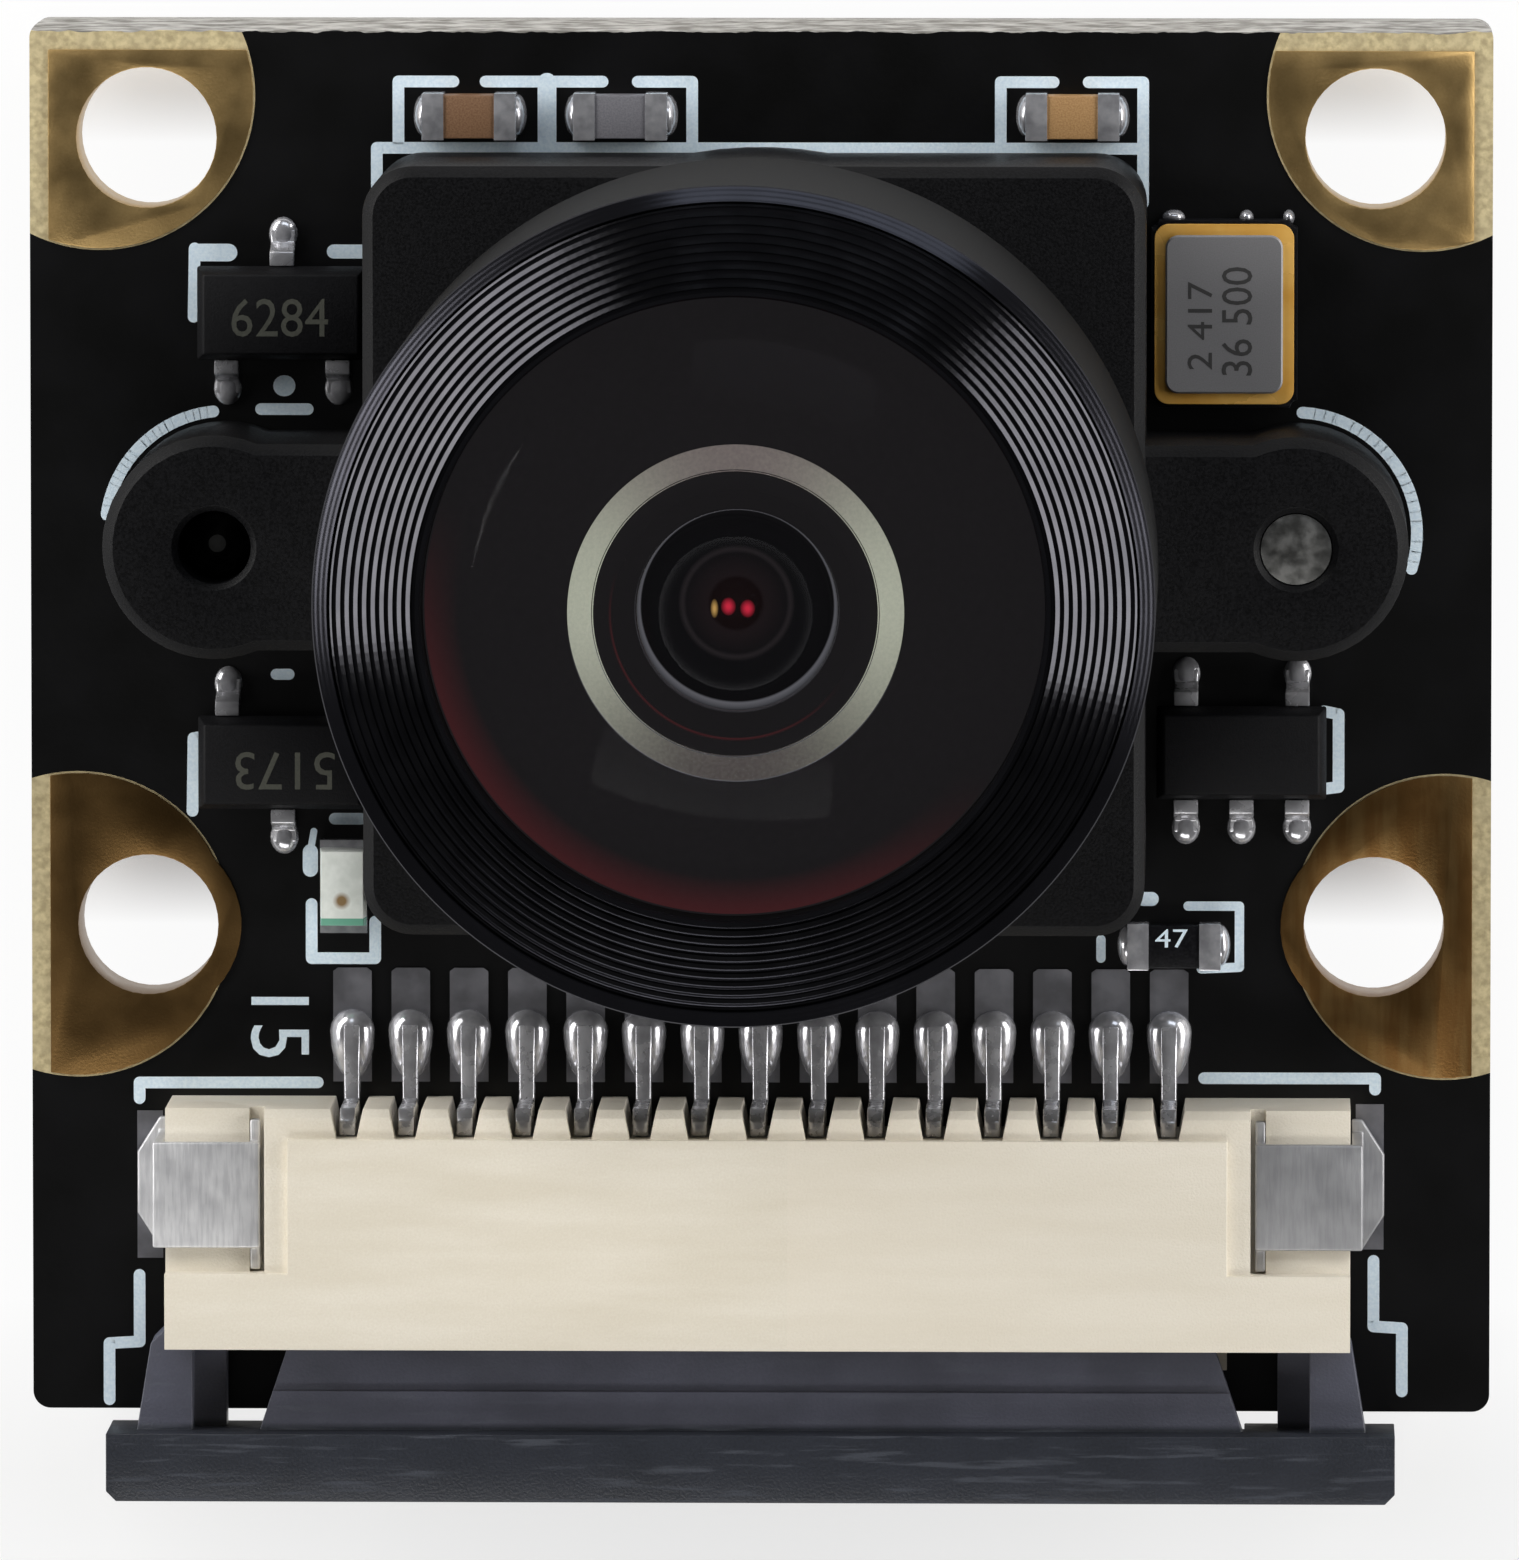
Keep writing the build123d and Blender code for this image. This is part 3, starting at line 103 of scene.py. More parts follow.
sight_line = Vector((LEAN_TO_RIGHT, LEAN_TO_TOP, 1.0)).normalized()
camera_data = bpy.data.cameras.new("photo_camera")
camera_data.sensor_fit = "AUTO"
camera_data.sensor_width = SENSOR_SIZE
camera_data.lens = SENSOR_SIZE * CAMERA_DISTANCE * PIXELS_PER_MM / IMAGE_LONG_SIDE
camera_data.clip_start = CLIP_NEAR
camera_data.clip_end = CLIP_FAR
camera = bpy.data.objects.new("photo_camera", camera_data)
bpy.context.scene.collection.objects.link(camera)
right = Vector((0, 1, 0)).cross(sight_line).normalized()
upward = sight_line.cross(right)
camera_place = Matrix.Translation((PICTURE_CENTRE + sight_line * CAMERA_DISTANCE) * MM)
camera.matrix_world = camera_place @ Matrix((right, upward, sight_line)).transposed().to_4x4()
bpy.context.scene.camera = camera
print("camera lens:", round(camera_data.lens, 1), "mm")

# %% [markdown]
# ## Small helpers
# A material here is a tree of nodes. One function adds a node of any kind with its values and
# what feeds it, so each finish reads as a list of steps. Colours are written as on a screen and
# turned to the linear values that a shader needs. A grain size in millimetres becomes a texture
# scale, because object coordinates are in metres.


# %% Helpers for colours, nodes and meshes
MERGE_DISTANCE = 0.0005
NUMBER_RESULTS = ("LENGTH", "DISTANCE", "DOT_PRODUCT")


def to_linear(code):
    """Linear colour of a screen colour such as #DED4C2."""
    shares = [int(code[start:start + 2], 16) / 255 for start in (1, 3, 5)]
    curved = [s / 12.92 if s <= 0.04045 else ((s + 0.055) / 1.055) ** 2.4 for s in shares]
    return (*curved, 1.0)


def per_mm(size_mm):
    """Texture scale that gives a pattern of this size."""
    return 1000 / size_mm


def add(tree, kind, values=None, links=None, **options):
    """Adds a node, sets its options and inputs, and joins what feeds it."""
    node = tree.nodes.new(kind)
    for option, value in options.items():
        setattr(node, option, value)
    for socket, value in (values or {}).items():
        node.inputs[socket].default_value = value
    for socket, source in (links or {}).items():
        tree.links.new(source, node.inputs[socket])
    return node


def new_finish(name, **values):
    """An empty finish: its material, its tree, its shader and its object coordinates."""
    material = bpy.data.materials.new(name)
    material.use_nodes = True
    tree = material.node_tree
    tree.nodes.clear()
    output = add(tree, "ShaderNodeOutputMaterial")
    shader = add(tree, "ShaderNodeBsdfPrincipled")
    for socket, value in values.items():
        shader.inputs[socket.replace("_", " ")].default_value = value
    tree.links.new(shader.outputs["BSDF"], output.inputs["Surface"])
    place = add(tree, "ShaderNodeTexCoord").outputs["Object"]
    return material, tree, shader, place


def blend(tree, share, low, high):
    """Colour between two colours or colour sources."""
    node = add(tree, "ShaderNodeMix", data_type="RGBA")
    for socket, value in ((0, share), (6, low), (7, high)):
        if isinstance(value, str):
            node.inputs[socket].default_value = to_linear(value)
        elif isinstance(value, (int, float)):
            node.inputs[socket].default_value = value
        else:
            tree.links.new(value, node.inputs[socket])
    return node.outputs[2]


def grain(tree, place, size_mm, low=0.35, high=0.65, detail=4.0):
    """Noise of one grain size, stretched so that it runs from 0 to 1."""
    noise = add(tree, "ShaderNodeTexNoise", {"Scale": per_mm(size_mm), "Detail": detail}, {"Vector": place})
    return between(tree, noise.outputs["Fac"], low, high)


def sums(tree, operation, first, second=None):
    """One sum of numbers or number sources."""
    node = add(tree, "ShaderNodeMath", operation=operation)
    for socket, value in enumerate((first, second)):
        if isinstance(value, (int, float)):
            node.inputs[socket].default_value = value
        elif value is not None:
            tree.links.new(value, node.inputs[socket])
    return node.outputs[0]


def vectors(tree, operation, first, second=None):
    """One sum of vectors or vector sources, which gives a vector, a length or a distance."""
    node = add(tree, "ShaderNodeVectorMath", operation=operation)
    for socket, value in enumerate((first, second)):
        if isinstance(value, (tuple, Vector)):
            node.inputs[socket].default_value = value
        elif value is not None:
            tree.links.new(value, node.inputs[socket])
    return node.outputs["Value" if operation in NUMBER_RESULTS else "Vector"]


def tint(tree, base, source, share, colour):
    """A base colour moved towards another one by a share of a 0 to 1 source."""
    return blend(tree, sums(tree, "MULTIPLY", source, share), base, colour)


def axes_of(tree, vector):
    """The X, Y and Z of a vector source."""
    return add(tree, "ShaderNodeSeparateXYZ", links={"Vector": vector}).outputs


def joined(tree, **axes):
    """A vector from number sources for some of its axes."""
    return add(tree, "ShaderNodeCombineXYZ", links=axes).outputs["Vector"]


def flattened(tree, place):
    """A place without its height. Its length is how far it lies from the lens axis."""
    axes = axes_of(tree, place)
    return joined(tree, X=axes["X"], Y=axes["Y"])


def drawn_out(tree, place, scale, turn=0.0):
    """Object coordinates stretched along an axis, for streaks."""
    values = {"Scale": scale, "Rotation": (0, 0, turn)}
    return add(tree, "ShaderNodeMapping", values, {"Vector": place}).outputs["Vector"]


def flatness(tree):
    """1 where a face looks along the lens axis, 0 where it is a wall."""
    facing = add(tree, "ShaderNodeNewGeometry").outputs["Normal"]
    return sums(tree, "ABSOLUTE", axes_of(tree, facing)["Z"])


def between(tree, value, low, high, **options):
    """A number source brought from one range to 0 to 1."""
    limits = {"From Min": low, "From Max": high}
    return add(tree, "ShaderNodeMapRange", limits, {"Value": value}, **options).outputs["Result"]


def spread(tree, value, low, high):
    """A 0 to 1 source brought to another range."""
    limits = {"To Min": low, "To Max": high}
    return add(tree, "ShaderNodeMapRange", limits, {"Value": value}).outputs["Result"]


def roughen(tree, shader, height, depth_mm):
    """Gives a shader bumps of a real depth."""
    values = {"Strength": 1.0, "Distance": depth_mm * MM}
    bump = add(tree, "ShaderNodeBump", values, {"Height": height})
    tree.links.new(bump.outputs["Normal"], shader.inputs["Normal"])


def grainy(name, low, high, grain_mm, roughness=(0.4, 0.6), bump_mm=0.0, **values):
    """A finish whose colour, gloss and surface vary with one fine grain."""
    material, tree, shader, place = new_finish(name, **values)
    speck = grain(tree, place, grain_mm)
    tree.links.new(blend(tree, speck, low, high), shader.inputs["Base Color"])
    tree.links.new(spread(tree, speck, *roughness), shader.inputs["Roughness"])
    if bump_mm:
        roughen(tree, shader, speck, bump_mm)
    return material


def placed(name, data):
    """A new object of the scene that shows this data."""
    thing = bpy.data.objects.new(name, data)
    bpy.context.scene.collection.objects.link(thing)
    return thing


def plain_mesh(name, carrier):
    """The mesh that an object shows with its modifiers. The object itself goes."""
    bpy.context.view_layer.update()
    shown = carrier.evaluated_get(bpy.context.evaluated_depsgraph_get())
    mesh = bpy.data.meshes.new_from_object(shown)
    mesh.name = name
    bpy.data.objects.remove(carrier)
    return mesh


def piece(name, mesh, material, body, stands_for=()):
    """A finished object that rides on a body, and stands for CAD nodes if told to."""
    thing = placed(name, mesh)
    mesh.materials.clear()
    mesh.materials.append(material)
    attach(thing, body)
    if stands_for:
        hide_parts(*stands_for)


def mesh_from(name, points, faces, smooth=True):
    """A mesh from points in millimetres, with its faces turned outwards."""
    mesh = bpy.data.meshes.new(name)
    mesh.from_pydata([tuple(c * MM for c in p) for p in points], [], faces)
    form = bmesh.new()
    form.from_mesh(mesh)
    bmesh.ops.remove_doubles(form, verts=form.verts, dist=MERGE_DISTANCE * MM)
    bmesh.ops.recalc_face_normals(form, faces=form.faces)
    form.to_mesh(mesh)
    form.free()
    for face in mesh.polygons:
        face.use_smooth = smooth
    return mesh


print("helpers ready")

# %% [markdown]
# ## Light, floor and background
# A product photograph of black parts is lit from the sides, so that black stays black where it
# faces the lens and edges catch the light. Two low soft boxes stand left and right, a little
# behind the module, where the grooves of the front ring mirror them. A weak cool one behind the
# top edge and a higher one in front of the connector fill the rest. The world is dark overhead
# and white at the horizon. The floor is white paper. It glows a little, so that the mounting
# holes and the background stay white. It glows less at the upper side of each hole and in front
# of the lock, where the photograph keeps a soft shadow. The lamps don't show through glass,
# because the coatings of the real lens swallow those mirror images.

# %% Lamps
WARM_WHITE = (1.0, 0.99, 0.975)
COOL_WHITE = (0.84, 0.91, 1.0)


def soft_box(name, azimuth, height_angle, distance, wide, tall, power, tint):
    """A soft box that faces the object from an azimuth and a height above the horizon."""
    turn = radians(azimuth)
    rise = radians(height_angle)
    outward = Vector((cos(turn) * cos(rise), sin(turn) * cos(rise), sin(rise)))
    data = bpy.data.lights.new(name, "AREA")
    data.shape = "RECTANGLE"
    data.size = wide
    data.size_y = tall
    data.energy = power
    data.color = tint
    lamp = placed(name, data)
    lamp.location = outward * distance
    lamp.rotation_mode = "QUATERNION"
    lamp.rotation_quaternion = outward.to_track_quat("Z", "Y")
    lamp.visible_camera = False
    lamp.visible_transmission = False


# each soft box is its azimuth, height angle, distance, width, height, power and tint
SOFT_BOXES = {
    "left_soft_box": (153, 23, 0.42, 0.58, 0.13, 2.1, WARM_WHITE),
    "right_soft_box": (13, 23, 0.42, 0.44, 0.13, 1.7, WARM_WHITE),
    "rear_soft_box": (78, 41, 0.50, 0.34, 0.13, 0.34, COOL_WHITE),
    "front_soft_box": (262, 47, 0.50, 0.44, 0.13, 0.9, WARM_WHITE),
}
for name, setting in SOFT_BOXES.items():
    soft_box(name, *setting)

# %% World and floor
FLOOR_RADIUS = 0.9
FLOOR_STEPS = 96
FLOOR_GAP = 0.01
HORIZON_BAND = 0.35
SKY_OVERHEAD = 0.075
FADE_START = 24.0
FADE_END = 60.0
GLOW_UNDER_BOARD = 0.95
GLOW_AT_HOLE_TOP = 0.25
GLOW_BESIDE_BOARD = 0.92
GLOW_BESIDE_LOCK = 0.6
LOCK_EDGE_Y = -16.5
SHADE_REACH = 3.0
UPPER_HOLES_Y = 6.55
LOWER_HOLES_Y = -6.95
HOLE_SHADE_REACH = 1.3
EDGE_BAND_START = 0.96
EDGE_BAND_END = 0.99

world = bpy.data.worlds.new("studio")
bpy.context.scene.world = world
world.use_nodes = True
sky = world.node_tree
sky.nodes.clear()
sky_way = add(sky, "ShaderNodeTexCoord").outputs["Generated"]
sky_strength = add(
    sky, "ShaderNodeMapRange",
    {"From Min": 0.0, "From Max": HORIZON_BAND, "To Min": 1.0, "To Max": SKY_OVERHEAD},
    {"Value": axes_of(sky, sky_way)["Z"]}, interpolation_type="SMOOTHSTEP",
).outputs["Result"]
sky_light = add(sky, "ShaderNodeBackground", {"Color": (1, 1, 1, 1)}, {"Strength": sky_strength})
add(sky, "ShaderNodeOutputWorld", links={"Surface": sky_light.outputs["Background"]})

floor_mesh = bpy.data.meshes.new("paper_floor")
floor_form = bmesh.new()
bmesh.ops.create_circle(floor_form, cap_ends=True, segments=FLOOR_STEPS, radius=FLOOR_RADIUS)
floor_form.to_mesh(floor_mesh)
floor_form.free()
floor_mesh.transform(Matrix.Translation((0, 0, CAD_BOX[0].z - FLOOR_GAP * MM)))
placed("paper_floor", floor_mesh)

paper, tree, shader, place = new_finish("matt_white_paper", Roughness=0.9, Specular_IOR_Level=0.0)
shader.inputs["Base Color"].default_value = to_linear("#F8F8F8")
board_low, board_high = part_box("circuit_board")
board_half = (board_high - board_low) / 2
from_middle = vectors(tree, "SUBTRACT", place, (board_low + board_high) / 2)
flat = vectors(tree, "MULTIPLY", from_middle, (1, 1, 0))
reach = vectors(tree, "LENGTH", flat)
far_glow = between(tree, reach, FADE_START * MM, FADE_END * MM, interpolation_type="SMOOTHSTEP")
in_halves = vectors(tree, "MULTIPLY", flat, (1 / board_half.x, 1 / board_half.y, 0))
board_shares = axes_of(tree, vectors(tree, "ABSOLUTE", in_halves))
past_board = sums(tree, "MAXIMUM", board_shares["X"], board_shares["Y"])
floor_y = axes_of(tree, place)["Y"]
hole_row = spread(tree, sums(tree, "GREATER_THAN", floor_y, 0.0), LOWER_HOLES_Y * MM, UPPER_HOLES_Y * MM)
up_in_hole = between(tree, sums(tree, "SUBTRACT", floor_y, hole_row), 0.0, HOLE_SHADE_REACH * MM)
hole_light = spread(tree, up_in_hole, GLOW_UNDER_BOARD, GLOW_AT_HOLE_TOP)
from_lock = between(tree, floor_y, LOCK_EDGE_Y * MM, (LOCK_EDGE_Y + SHADE_REACH) * MM)
beside = spread(tree, from_lock, GLOW_BESIDE_LOCK, GLOW_BESIDE_BOARD)
near_glow = add(
    tree, "ShaderNodeMapRange", {"From Min": EDGE_BAND_START, "From Max": EDGE_BAND_END},
    {"Value": past_board, "To Min": hole_light, "To Max": beside},
).outputs["Result"]
rays = add(tree, "ShaderNodeLightPath").outputs
seen = sums(tree, "MAXIMUM", rays["Is Camera Ray"], rays["Is Transmission Ray"])
seen = sums(tree, "MAXIMUM", seen, rays["Is Glossy Ray"])
glow = add(tree, "ShaderNodeEmission", {"Color": (1, 1, 1, 1), "Strength": 1.0})
glow_share = sums(tree, "MULTIPLY", sums(tree, "MAXIMUM", far_glow, near_glow), seen)
mixed = add(
    tree, "ShaderNodeMixShader",
    links={0: glow_share, 1: shader.outputs["BSDF"], 2: glow.outputs["Emission"]},
)
paper_output = next(node for node in tree.nodes if node.bl_idname == "ShaderNodeOutputMaterial")
tree.links.new(mixed.outputs["Shader"], paper_output.inputs["Surface"])
floor_mesh.materials.append(paper)

view = bpy.context.scene.view_settings
view.view_transform = "Standard"
print("lamps:", len(bpy.data.lights), "floor at", round(CAD_BOX[0].z / MM, 2), "mm")

# %% [markdown]
# ## Finishes of the circuit board
# The board is glass-fibre laminate under glossy black solder mask. Round the mounting holes the
# mask is left open, so that bare beige laminate shows between the gold land and the board's edge.
# The top edge was snapped along a score line, which leaves pale torn fibres. All of that follows
# from where a point lies on the board, so one material can find it from object coordinates.

# %% Solder mask and laminate
TOP_OPENING = (11.3, 7.48)
TOP_OPENING_RADIUS = 2.66
LOWER_OPENING = (11.7, -6.75)
LOWER_OPENING_RADIUS = 2.63
SCORE_WIDTH = 0.18
SCORE_SHIFT = 0.05
EDGE_WANDER = 0.12
WANDER_SIZE = 0.35
WEAVE_SIZE = 0.45
THREAD_SIZE = 0.12
TORN_FIBRE_SIZE = 0.06
MASK_CLOUD_SIZE = 1.4
WALL_FLATNESS = 0.3
FIBRE_DEPTH = 0.02
BOARD_TOP_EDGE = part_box("circuit_board")[1].y / MM

board_finish, tree, shader, place = new_finish("black_solder_mask_on_glass_fibre_laminate")
board_at = axes_of(tree, place)
folded = joined(tree, X=sums(tree, "ABSOLUTE", board_at["X"]), Y=board_at["Y"])


def within(centre, radius):
    """1 inside a circle on the folded board, else 0."""
    spot = (centre[0] * MM, centre[1] * MM, 0)
    return sums(tree, "LESS_THAN", vectors(tree, "DISTANCE", folded, spot), radius * MM)


open_mask = sums(
    tree, "MAXIMUM", within(TOP_OPENING, TOP_OPENING_RADIUS), within(LOWER_OPENING, LOWER_OPENING_RADIUS)
)
side_face = sums(tree, "LESS_THAN", flatness(tree), WALL_FLATNESS)
weave = add(tree, "ShaderNodeTexChecker", {"Scale": per_mm(WEAVE_SIZE)}, {"Vector": place}).outputs["Fac"]
threads = grain(tree, place, THREAD_SIZE)
laminate = blend(tree, threads, "#A99A76", "#CDBE94")
laminate = tint(tree, laminate, weave, 0.25, "#B5A785")
mask_tone = blend(tree, grain(tree, place, MASK_CLOUD_SIZE), "#080808", "#0E0E0F")
torn = grain(tree, drawn_out(tree, place, (0.12, 1.0, 1.0)), TORN_FIBRE_SIZE, 0.36, 0.6, 6.0)
wander = add(tree, "ShaderNodeTexNoise", {"Scale": per_mm(WANDER_SIZE)}, {"Vector": place}).outputs["Fac"]
edge_line = sums(tree, "ADD", board_at["Y"], sums(tree, "MULTIPLY", wander, EDGE_WANDER * MM))
score_zone = sums(tree, "GREATER_THAN", edge_line, (BOARD_TOP_EDGE - SCORE_WIDTH + SCORE_SHIFT) * MM)
colour = blend(tree, open_mask, mask_tone, laminate)
colour = blend(tree, side_face, colour, blend(tree, threads, "#1A1610", "#4A3D28"))
colour = blend(tree, score_zone, colour, blend(tree, torn, "#7D7A74", "#B8B5B0"))
tree.links.new(colour, shader.inputs["Base Color"])
bare = sums(tree, "MAXIMUM", sums(tree, "MAXIMUM", open_mask, side_face), score_zone)
tree.links.new(spread(tree, bare, 0.30, 0.7), shader.inputs["Roughness"])
shader.inputs["Specular IOR Level"].default_value = 0.3
height = sums(tree, "ADD", sums(tree, "MULTIPLY", torn, score_zone), sums(tree, "MULTIPLY", threads, 0.05))
roughen(tree, shader, height, FIBRE_DEPTH)
print("board finish: nodes", len(tree.nodes))

# %% [markdown]
# ## Gold on the mounting lands
# The lands are copper with a thin film of chemically laid gold. That film is soft and a little
# uneven, so it shows dull, broad reflections with faint stains. The two lower lands are darker,
# and the right one of them is streaked with brown, where flux was wiped along the board.

# %% Immersion gold
GOLD_CLOUD_SIZE = 0.9
GOLD_PIT_SIZE = 0.05
GOLD_PIT_DEPTH = 0.0012
WIPE_STREAK_SIZE = 0.22

gold_finish, tree, shader, place = new_finish("immersion_gold", Metallic=1.0)
cloudy = grain(tree, place, GOLD_CLOUD_SIZE, 0.3, 0.7)
pitted = grain(tree, place, GOLD_PIT_SIZE, 0.3, 0.7, 6.0)
gold = blend(tree, cloudy, "#AD9160", "#C2A46F")
gold = tint(tree, gold, pitted, 0.2, "#8E6E3C")
streaks = grain(tree, drawn_out(tree, place, (1.0, 0.12, 1.0)), WIPE_STREAK_SIZE, 0.38, 0.6, 5.0)
land_at = axes_of(tree, place)
lower = sums(tree, "LESS_THAN", land_at["Y"], 0.0)
lower_right = sums(tree, "MULTIPLY", sums(tree, "GREATER_THAN", land_at["X"], 0.0), lower)
gold = tint(tree, gold, lower, 0.85, "#6A4E2C")
stained = sums(tree, "MULTIPLY", sums(tree, "MULTIPLY", streaks, lower_right), 0.5)
gold = tint(tree, gold, lower_right, 0.3, "#B08C58")
tree.links.new(blend(tree, stained, gold, "#6E451C"), shader.inputs["Base Color"])
tree.links.new(spread(tree, cloudy, 0.34, 0.46), shader.inputs["Roughness"])
roughen(tree, shader, pitted, GOLD_PIT_DEPTH)

# %% [markdown]
# ## Moulded plastics, ceramics and plated metals
# Most of the small parts share one recipe: a base tone, a second tone a shade away, and a grain
# of a real size that also changes the gloss. What differs is the grain. Glass-filled nylon shows
# fine specks, moulding compound is almost flat, tin plate is bright with soft scratches.

# %% Plain grainy finishes
# each finish is its name, its two tones, grain size, range of roughness and depth of the grain
DULL = {"Specular_IOR_Level": 0.14}
holder_finish = grainy("glass_filled_nylon_black", "#060607", "#0F0F11", 0.045, (0.42, 0.55), 0.002, **DULL)
compound_finish = grainy("epoxy_moulding_compound", "#0D0D0F", "#151517", 0.03, (0.5, 0.65), 0.002, **DULL)
sensor_finish = grainy("sensor_ceramic", "#16161A", "#202026", 0.05, (0.4, 0.5))
screw_finish = grainy("bright_cut_steel", "#5C5C5A", "#7E7E7C", 0.25, (0.3, 0.5), 0.002, Metallic=0.8)
brown_ceramic = grainy("brown_capacitor_ceramic", "#70523B", "#86664B", 0.03, (0.35, 0.5), 0.001)
tan_ceramic = grainy("tan_capacitor_ceramic", "#9C774C", "#B38D60", 0.03, (0.35, 0.5), 0.001)
grey_ferrite = grainy("grey_sintered_ferrite", "#66656A", "#77767B", 0.03, (0.4, 0.55), 0.001)
black_overcoat = grainy("black_resistor_overcoat", "#0C0C0E", "#151518", 0.04, (0.3, 0.45), 0.001, **DULL)
kovar_lid = grainy("matte_nickel_lid", "#878688", "#929193", 0.02, (0.42, 0.52), 0.0004, Metallic=0.5)
plated_seal = grainy("gold_plated_seal_ring", "#D9A24A", "#EBBB66", 1.0, (0.22, 0.3), Metallic=0.2)
tin_finish = grainy("bright_tin_plate", "#B4B4B8", "#D2D2D6", 0.3, (0.20, 0.32), 0.0006, Metallic=0.65)
solder_finish = grainy("reflowed_solder", "#B4B4B9", "#D8D8DC", 0.25, (0.14, 0.22), 0.0006, Metallic=0.7)
ink_finish = grainy("white_legend_ink", "#D2E4F0", "#E2F0F8", 0.05, (0.5, 0.7), 0.001)
pad_finish = grainy("tinned_copper_pad", "#78787D", "#8C8C92", 0.5, (0.36, 0.46), 0.0004, Metallic=0.75)
stop_finish = grainy("black_anodised_inner_ring", "#0A0A0B", "#141416", 0.06, (0.4, 0.6))

# %% [markdown]
# ## Connector plastics
# The housing is cream engineering plastic that stands soldering heat. It shows faint flow lines
# from the mould and one weld line near the middle. The slide lock is dark blue-grey nylon with
# faint scuffs. Beside the housing it is painted paler, a painted light on the part that lies in
# the housing's shade, and its outer edge stays dark.

# %% Cream housing
WELD_LINE_X = 0.52
FLOW_LINE_SIZE = 0.5
PLASTIC_GRAIN_SIZE = 0.04
PLASTIC_GRAIN_DEPTH = 0.003

housing_finish, tree, shader, place = new_finish("cream_liquid_crystal_polymer")
flow = grain(tree, drawn_out(tree, place, (0.15, 1.0, 1.0)), FLOW_LINE_SIZE)
fine = grain(tree, place, PLASTIC_GRAIN_SIZE)
cream = blend(tree, flow, "#E0D8C7", "#E7E0D1")
cream = tint(tree, cream, fine, 0.18, "#C9BCA4")
right_half = sums(tree, "GREATER_THAN", axes_of(tree, place)["X"], WELD_LINE_X * MM)
cream = tint(tree, cream, right_half, 0.35, "#E6DDCD")
tree.links.new(cream, shader.inputs["Base Color"])
tree.links.new(spread(tree, flow, 0.42, 0.55), shader.inputs["Roughness"])
roughen(tree, shader, fine, PLASTIC_GRAIN_DEPTH)

# %% Slide lock and scratched tin tabs
PAINTED_LIGHT_START = -15.25
PAINTED_LIGHT_END = -15.15
SLATE_CLOUD_SIZE = 1.3
SLATE_GRAIN_SIZE = 0.05
SCUFF_SIZE = 0.11
TIN_CLOUD_SIZE = 0.5
SCRATCH_SIZE = 0.05
SCRATCH_DEPTH = 0.0012
SCRATCH_TURN = 0.5

lock_finish, tree, shader, place = new_finish("slate_nylon_rubbed")
cloudy = grain(tree, place, SLATE_CLOUD_SIZE)
fine = grain(tree, place, SLATE_GRAIN_SIZE)
scuff = grain(tree, drawn_out(tree, place, (0.08, 1.0, 1.0)), SCUFF_SIZE, 0.56, 0.68, 6.0)
# painted light: the part beside the housing is given a paler tone than the outer bar
painted_light_share = between(tree, axes_of(tree, place)["Y"], PAINTED_LIGHT_START * MM, PAINTED_LIGHT_END * MM)
dark_slate = blend(tree, cloudy, "#1A1D24", "#22252D")
slate = blend(tree, painted_light_share, dark_slate, blend(tree, cloudy, "#484954", "#535461"))
slate = tint(tree, slate, fine, 0.2, "#363B46")
slate = tint(tree, slate, scuff, 0.3, "#4A4F5A")
tree.links.new(slate, shader.inputs["Base Color"])
tree.links.new(spread(tree, scuff, 0.42, 0.6), shader.inputs["Roughness"])
roughen(tree, shader, fine, PLASTIC_GRAIN_DEPTH)

tab_finish, tree, shader, place = new_finish("scratched_matt_tin", Metallic=0.5)
scored = grain(tree, drawn_out(tree, place, (1.0, 0.1, 1.0), SCRATCH_TURN), SCRATCH_SIZE, 0.42, 0.62, 7.0)
cloudy = grain(tree, place, TIN_CLOUD_SIZE)
tin = blend(tree, cloudy, "#CECED0", "#DADADB")
tin = tint(tree, tin, scored, 0.25, "#8C8C92")
# painted shade: the right tab is given a darker tone than the left one
painted_shade_right_tab = sums(tree, "GREATER_THAN", axes_of(tree, place)["X"], 0.0)
tin = tint(tree, tin, painted_shade_right_tab, 0.6, "#77777A")
tree.links.new(tin, shader.inputs["Base Color"])
tree.links.new(spread(tree, cloudy, 0.40, 0.52), shader.inputs["Roughness"])
roughen(tree, shader, scored, SCRATCH_DEPTH)
print("finishes so far:", len(bpy.data.materials))

# %% [markdown]
# ## Black anodised aluminium
# The lens barrel and its front ring are turned on a lathe and then anodised and dyed black. The
# tool leaves circular marks, so the finish carries a fine ripple that depends on the distance
# from the lens axis. The film is partly clear, and the metal below gives it a crisp, bright glint.
# Steep walls are made nearly matt and carry a painted shade: their tone is near black, so they stay dark.

# %% Turned and dyed aluminium
TOOL_MARK = 0.035
TOOL_MARK_DEPTH = 0.0003
DYE_CLOUD_SIZE = 1.2
STEEP_WALL = 0.4

groove_finish = grainy("anodised_groove_crests", "#2A2A2D", "#313134", 0.6, (0.13, 0.16), Metallic=1.0)
barrel_finish, tree, shader, place = new_finish("black_anodised_turned_aluminium", Metallic=0.9)
radius = vectors(tree, "LENGTH", flattened(tree, place))
along = sums(tree, "ADD", radius, axes_of(tree, place)["Z"])
ripple = sums(tree, "SINE", sums(tree, "MULTIPLY", along, 2 * pi / (TOOL_MARK * MM)))
dyed = grain(tree, place, DYE_CLOUD_SIZE, 0.3, 0.7)
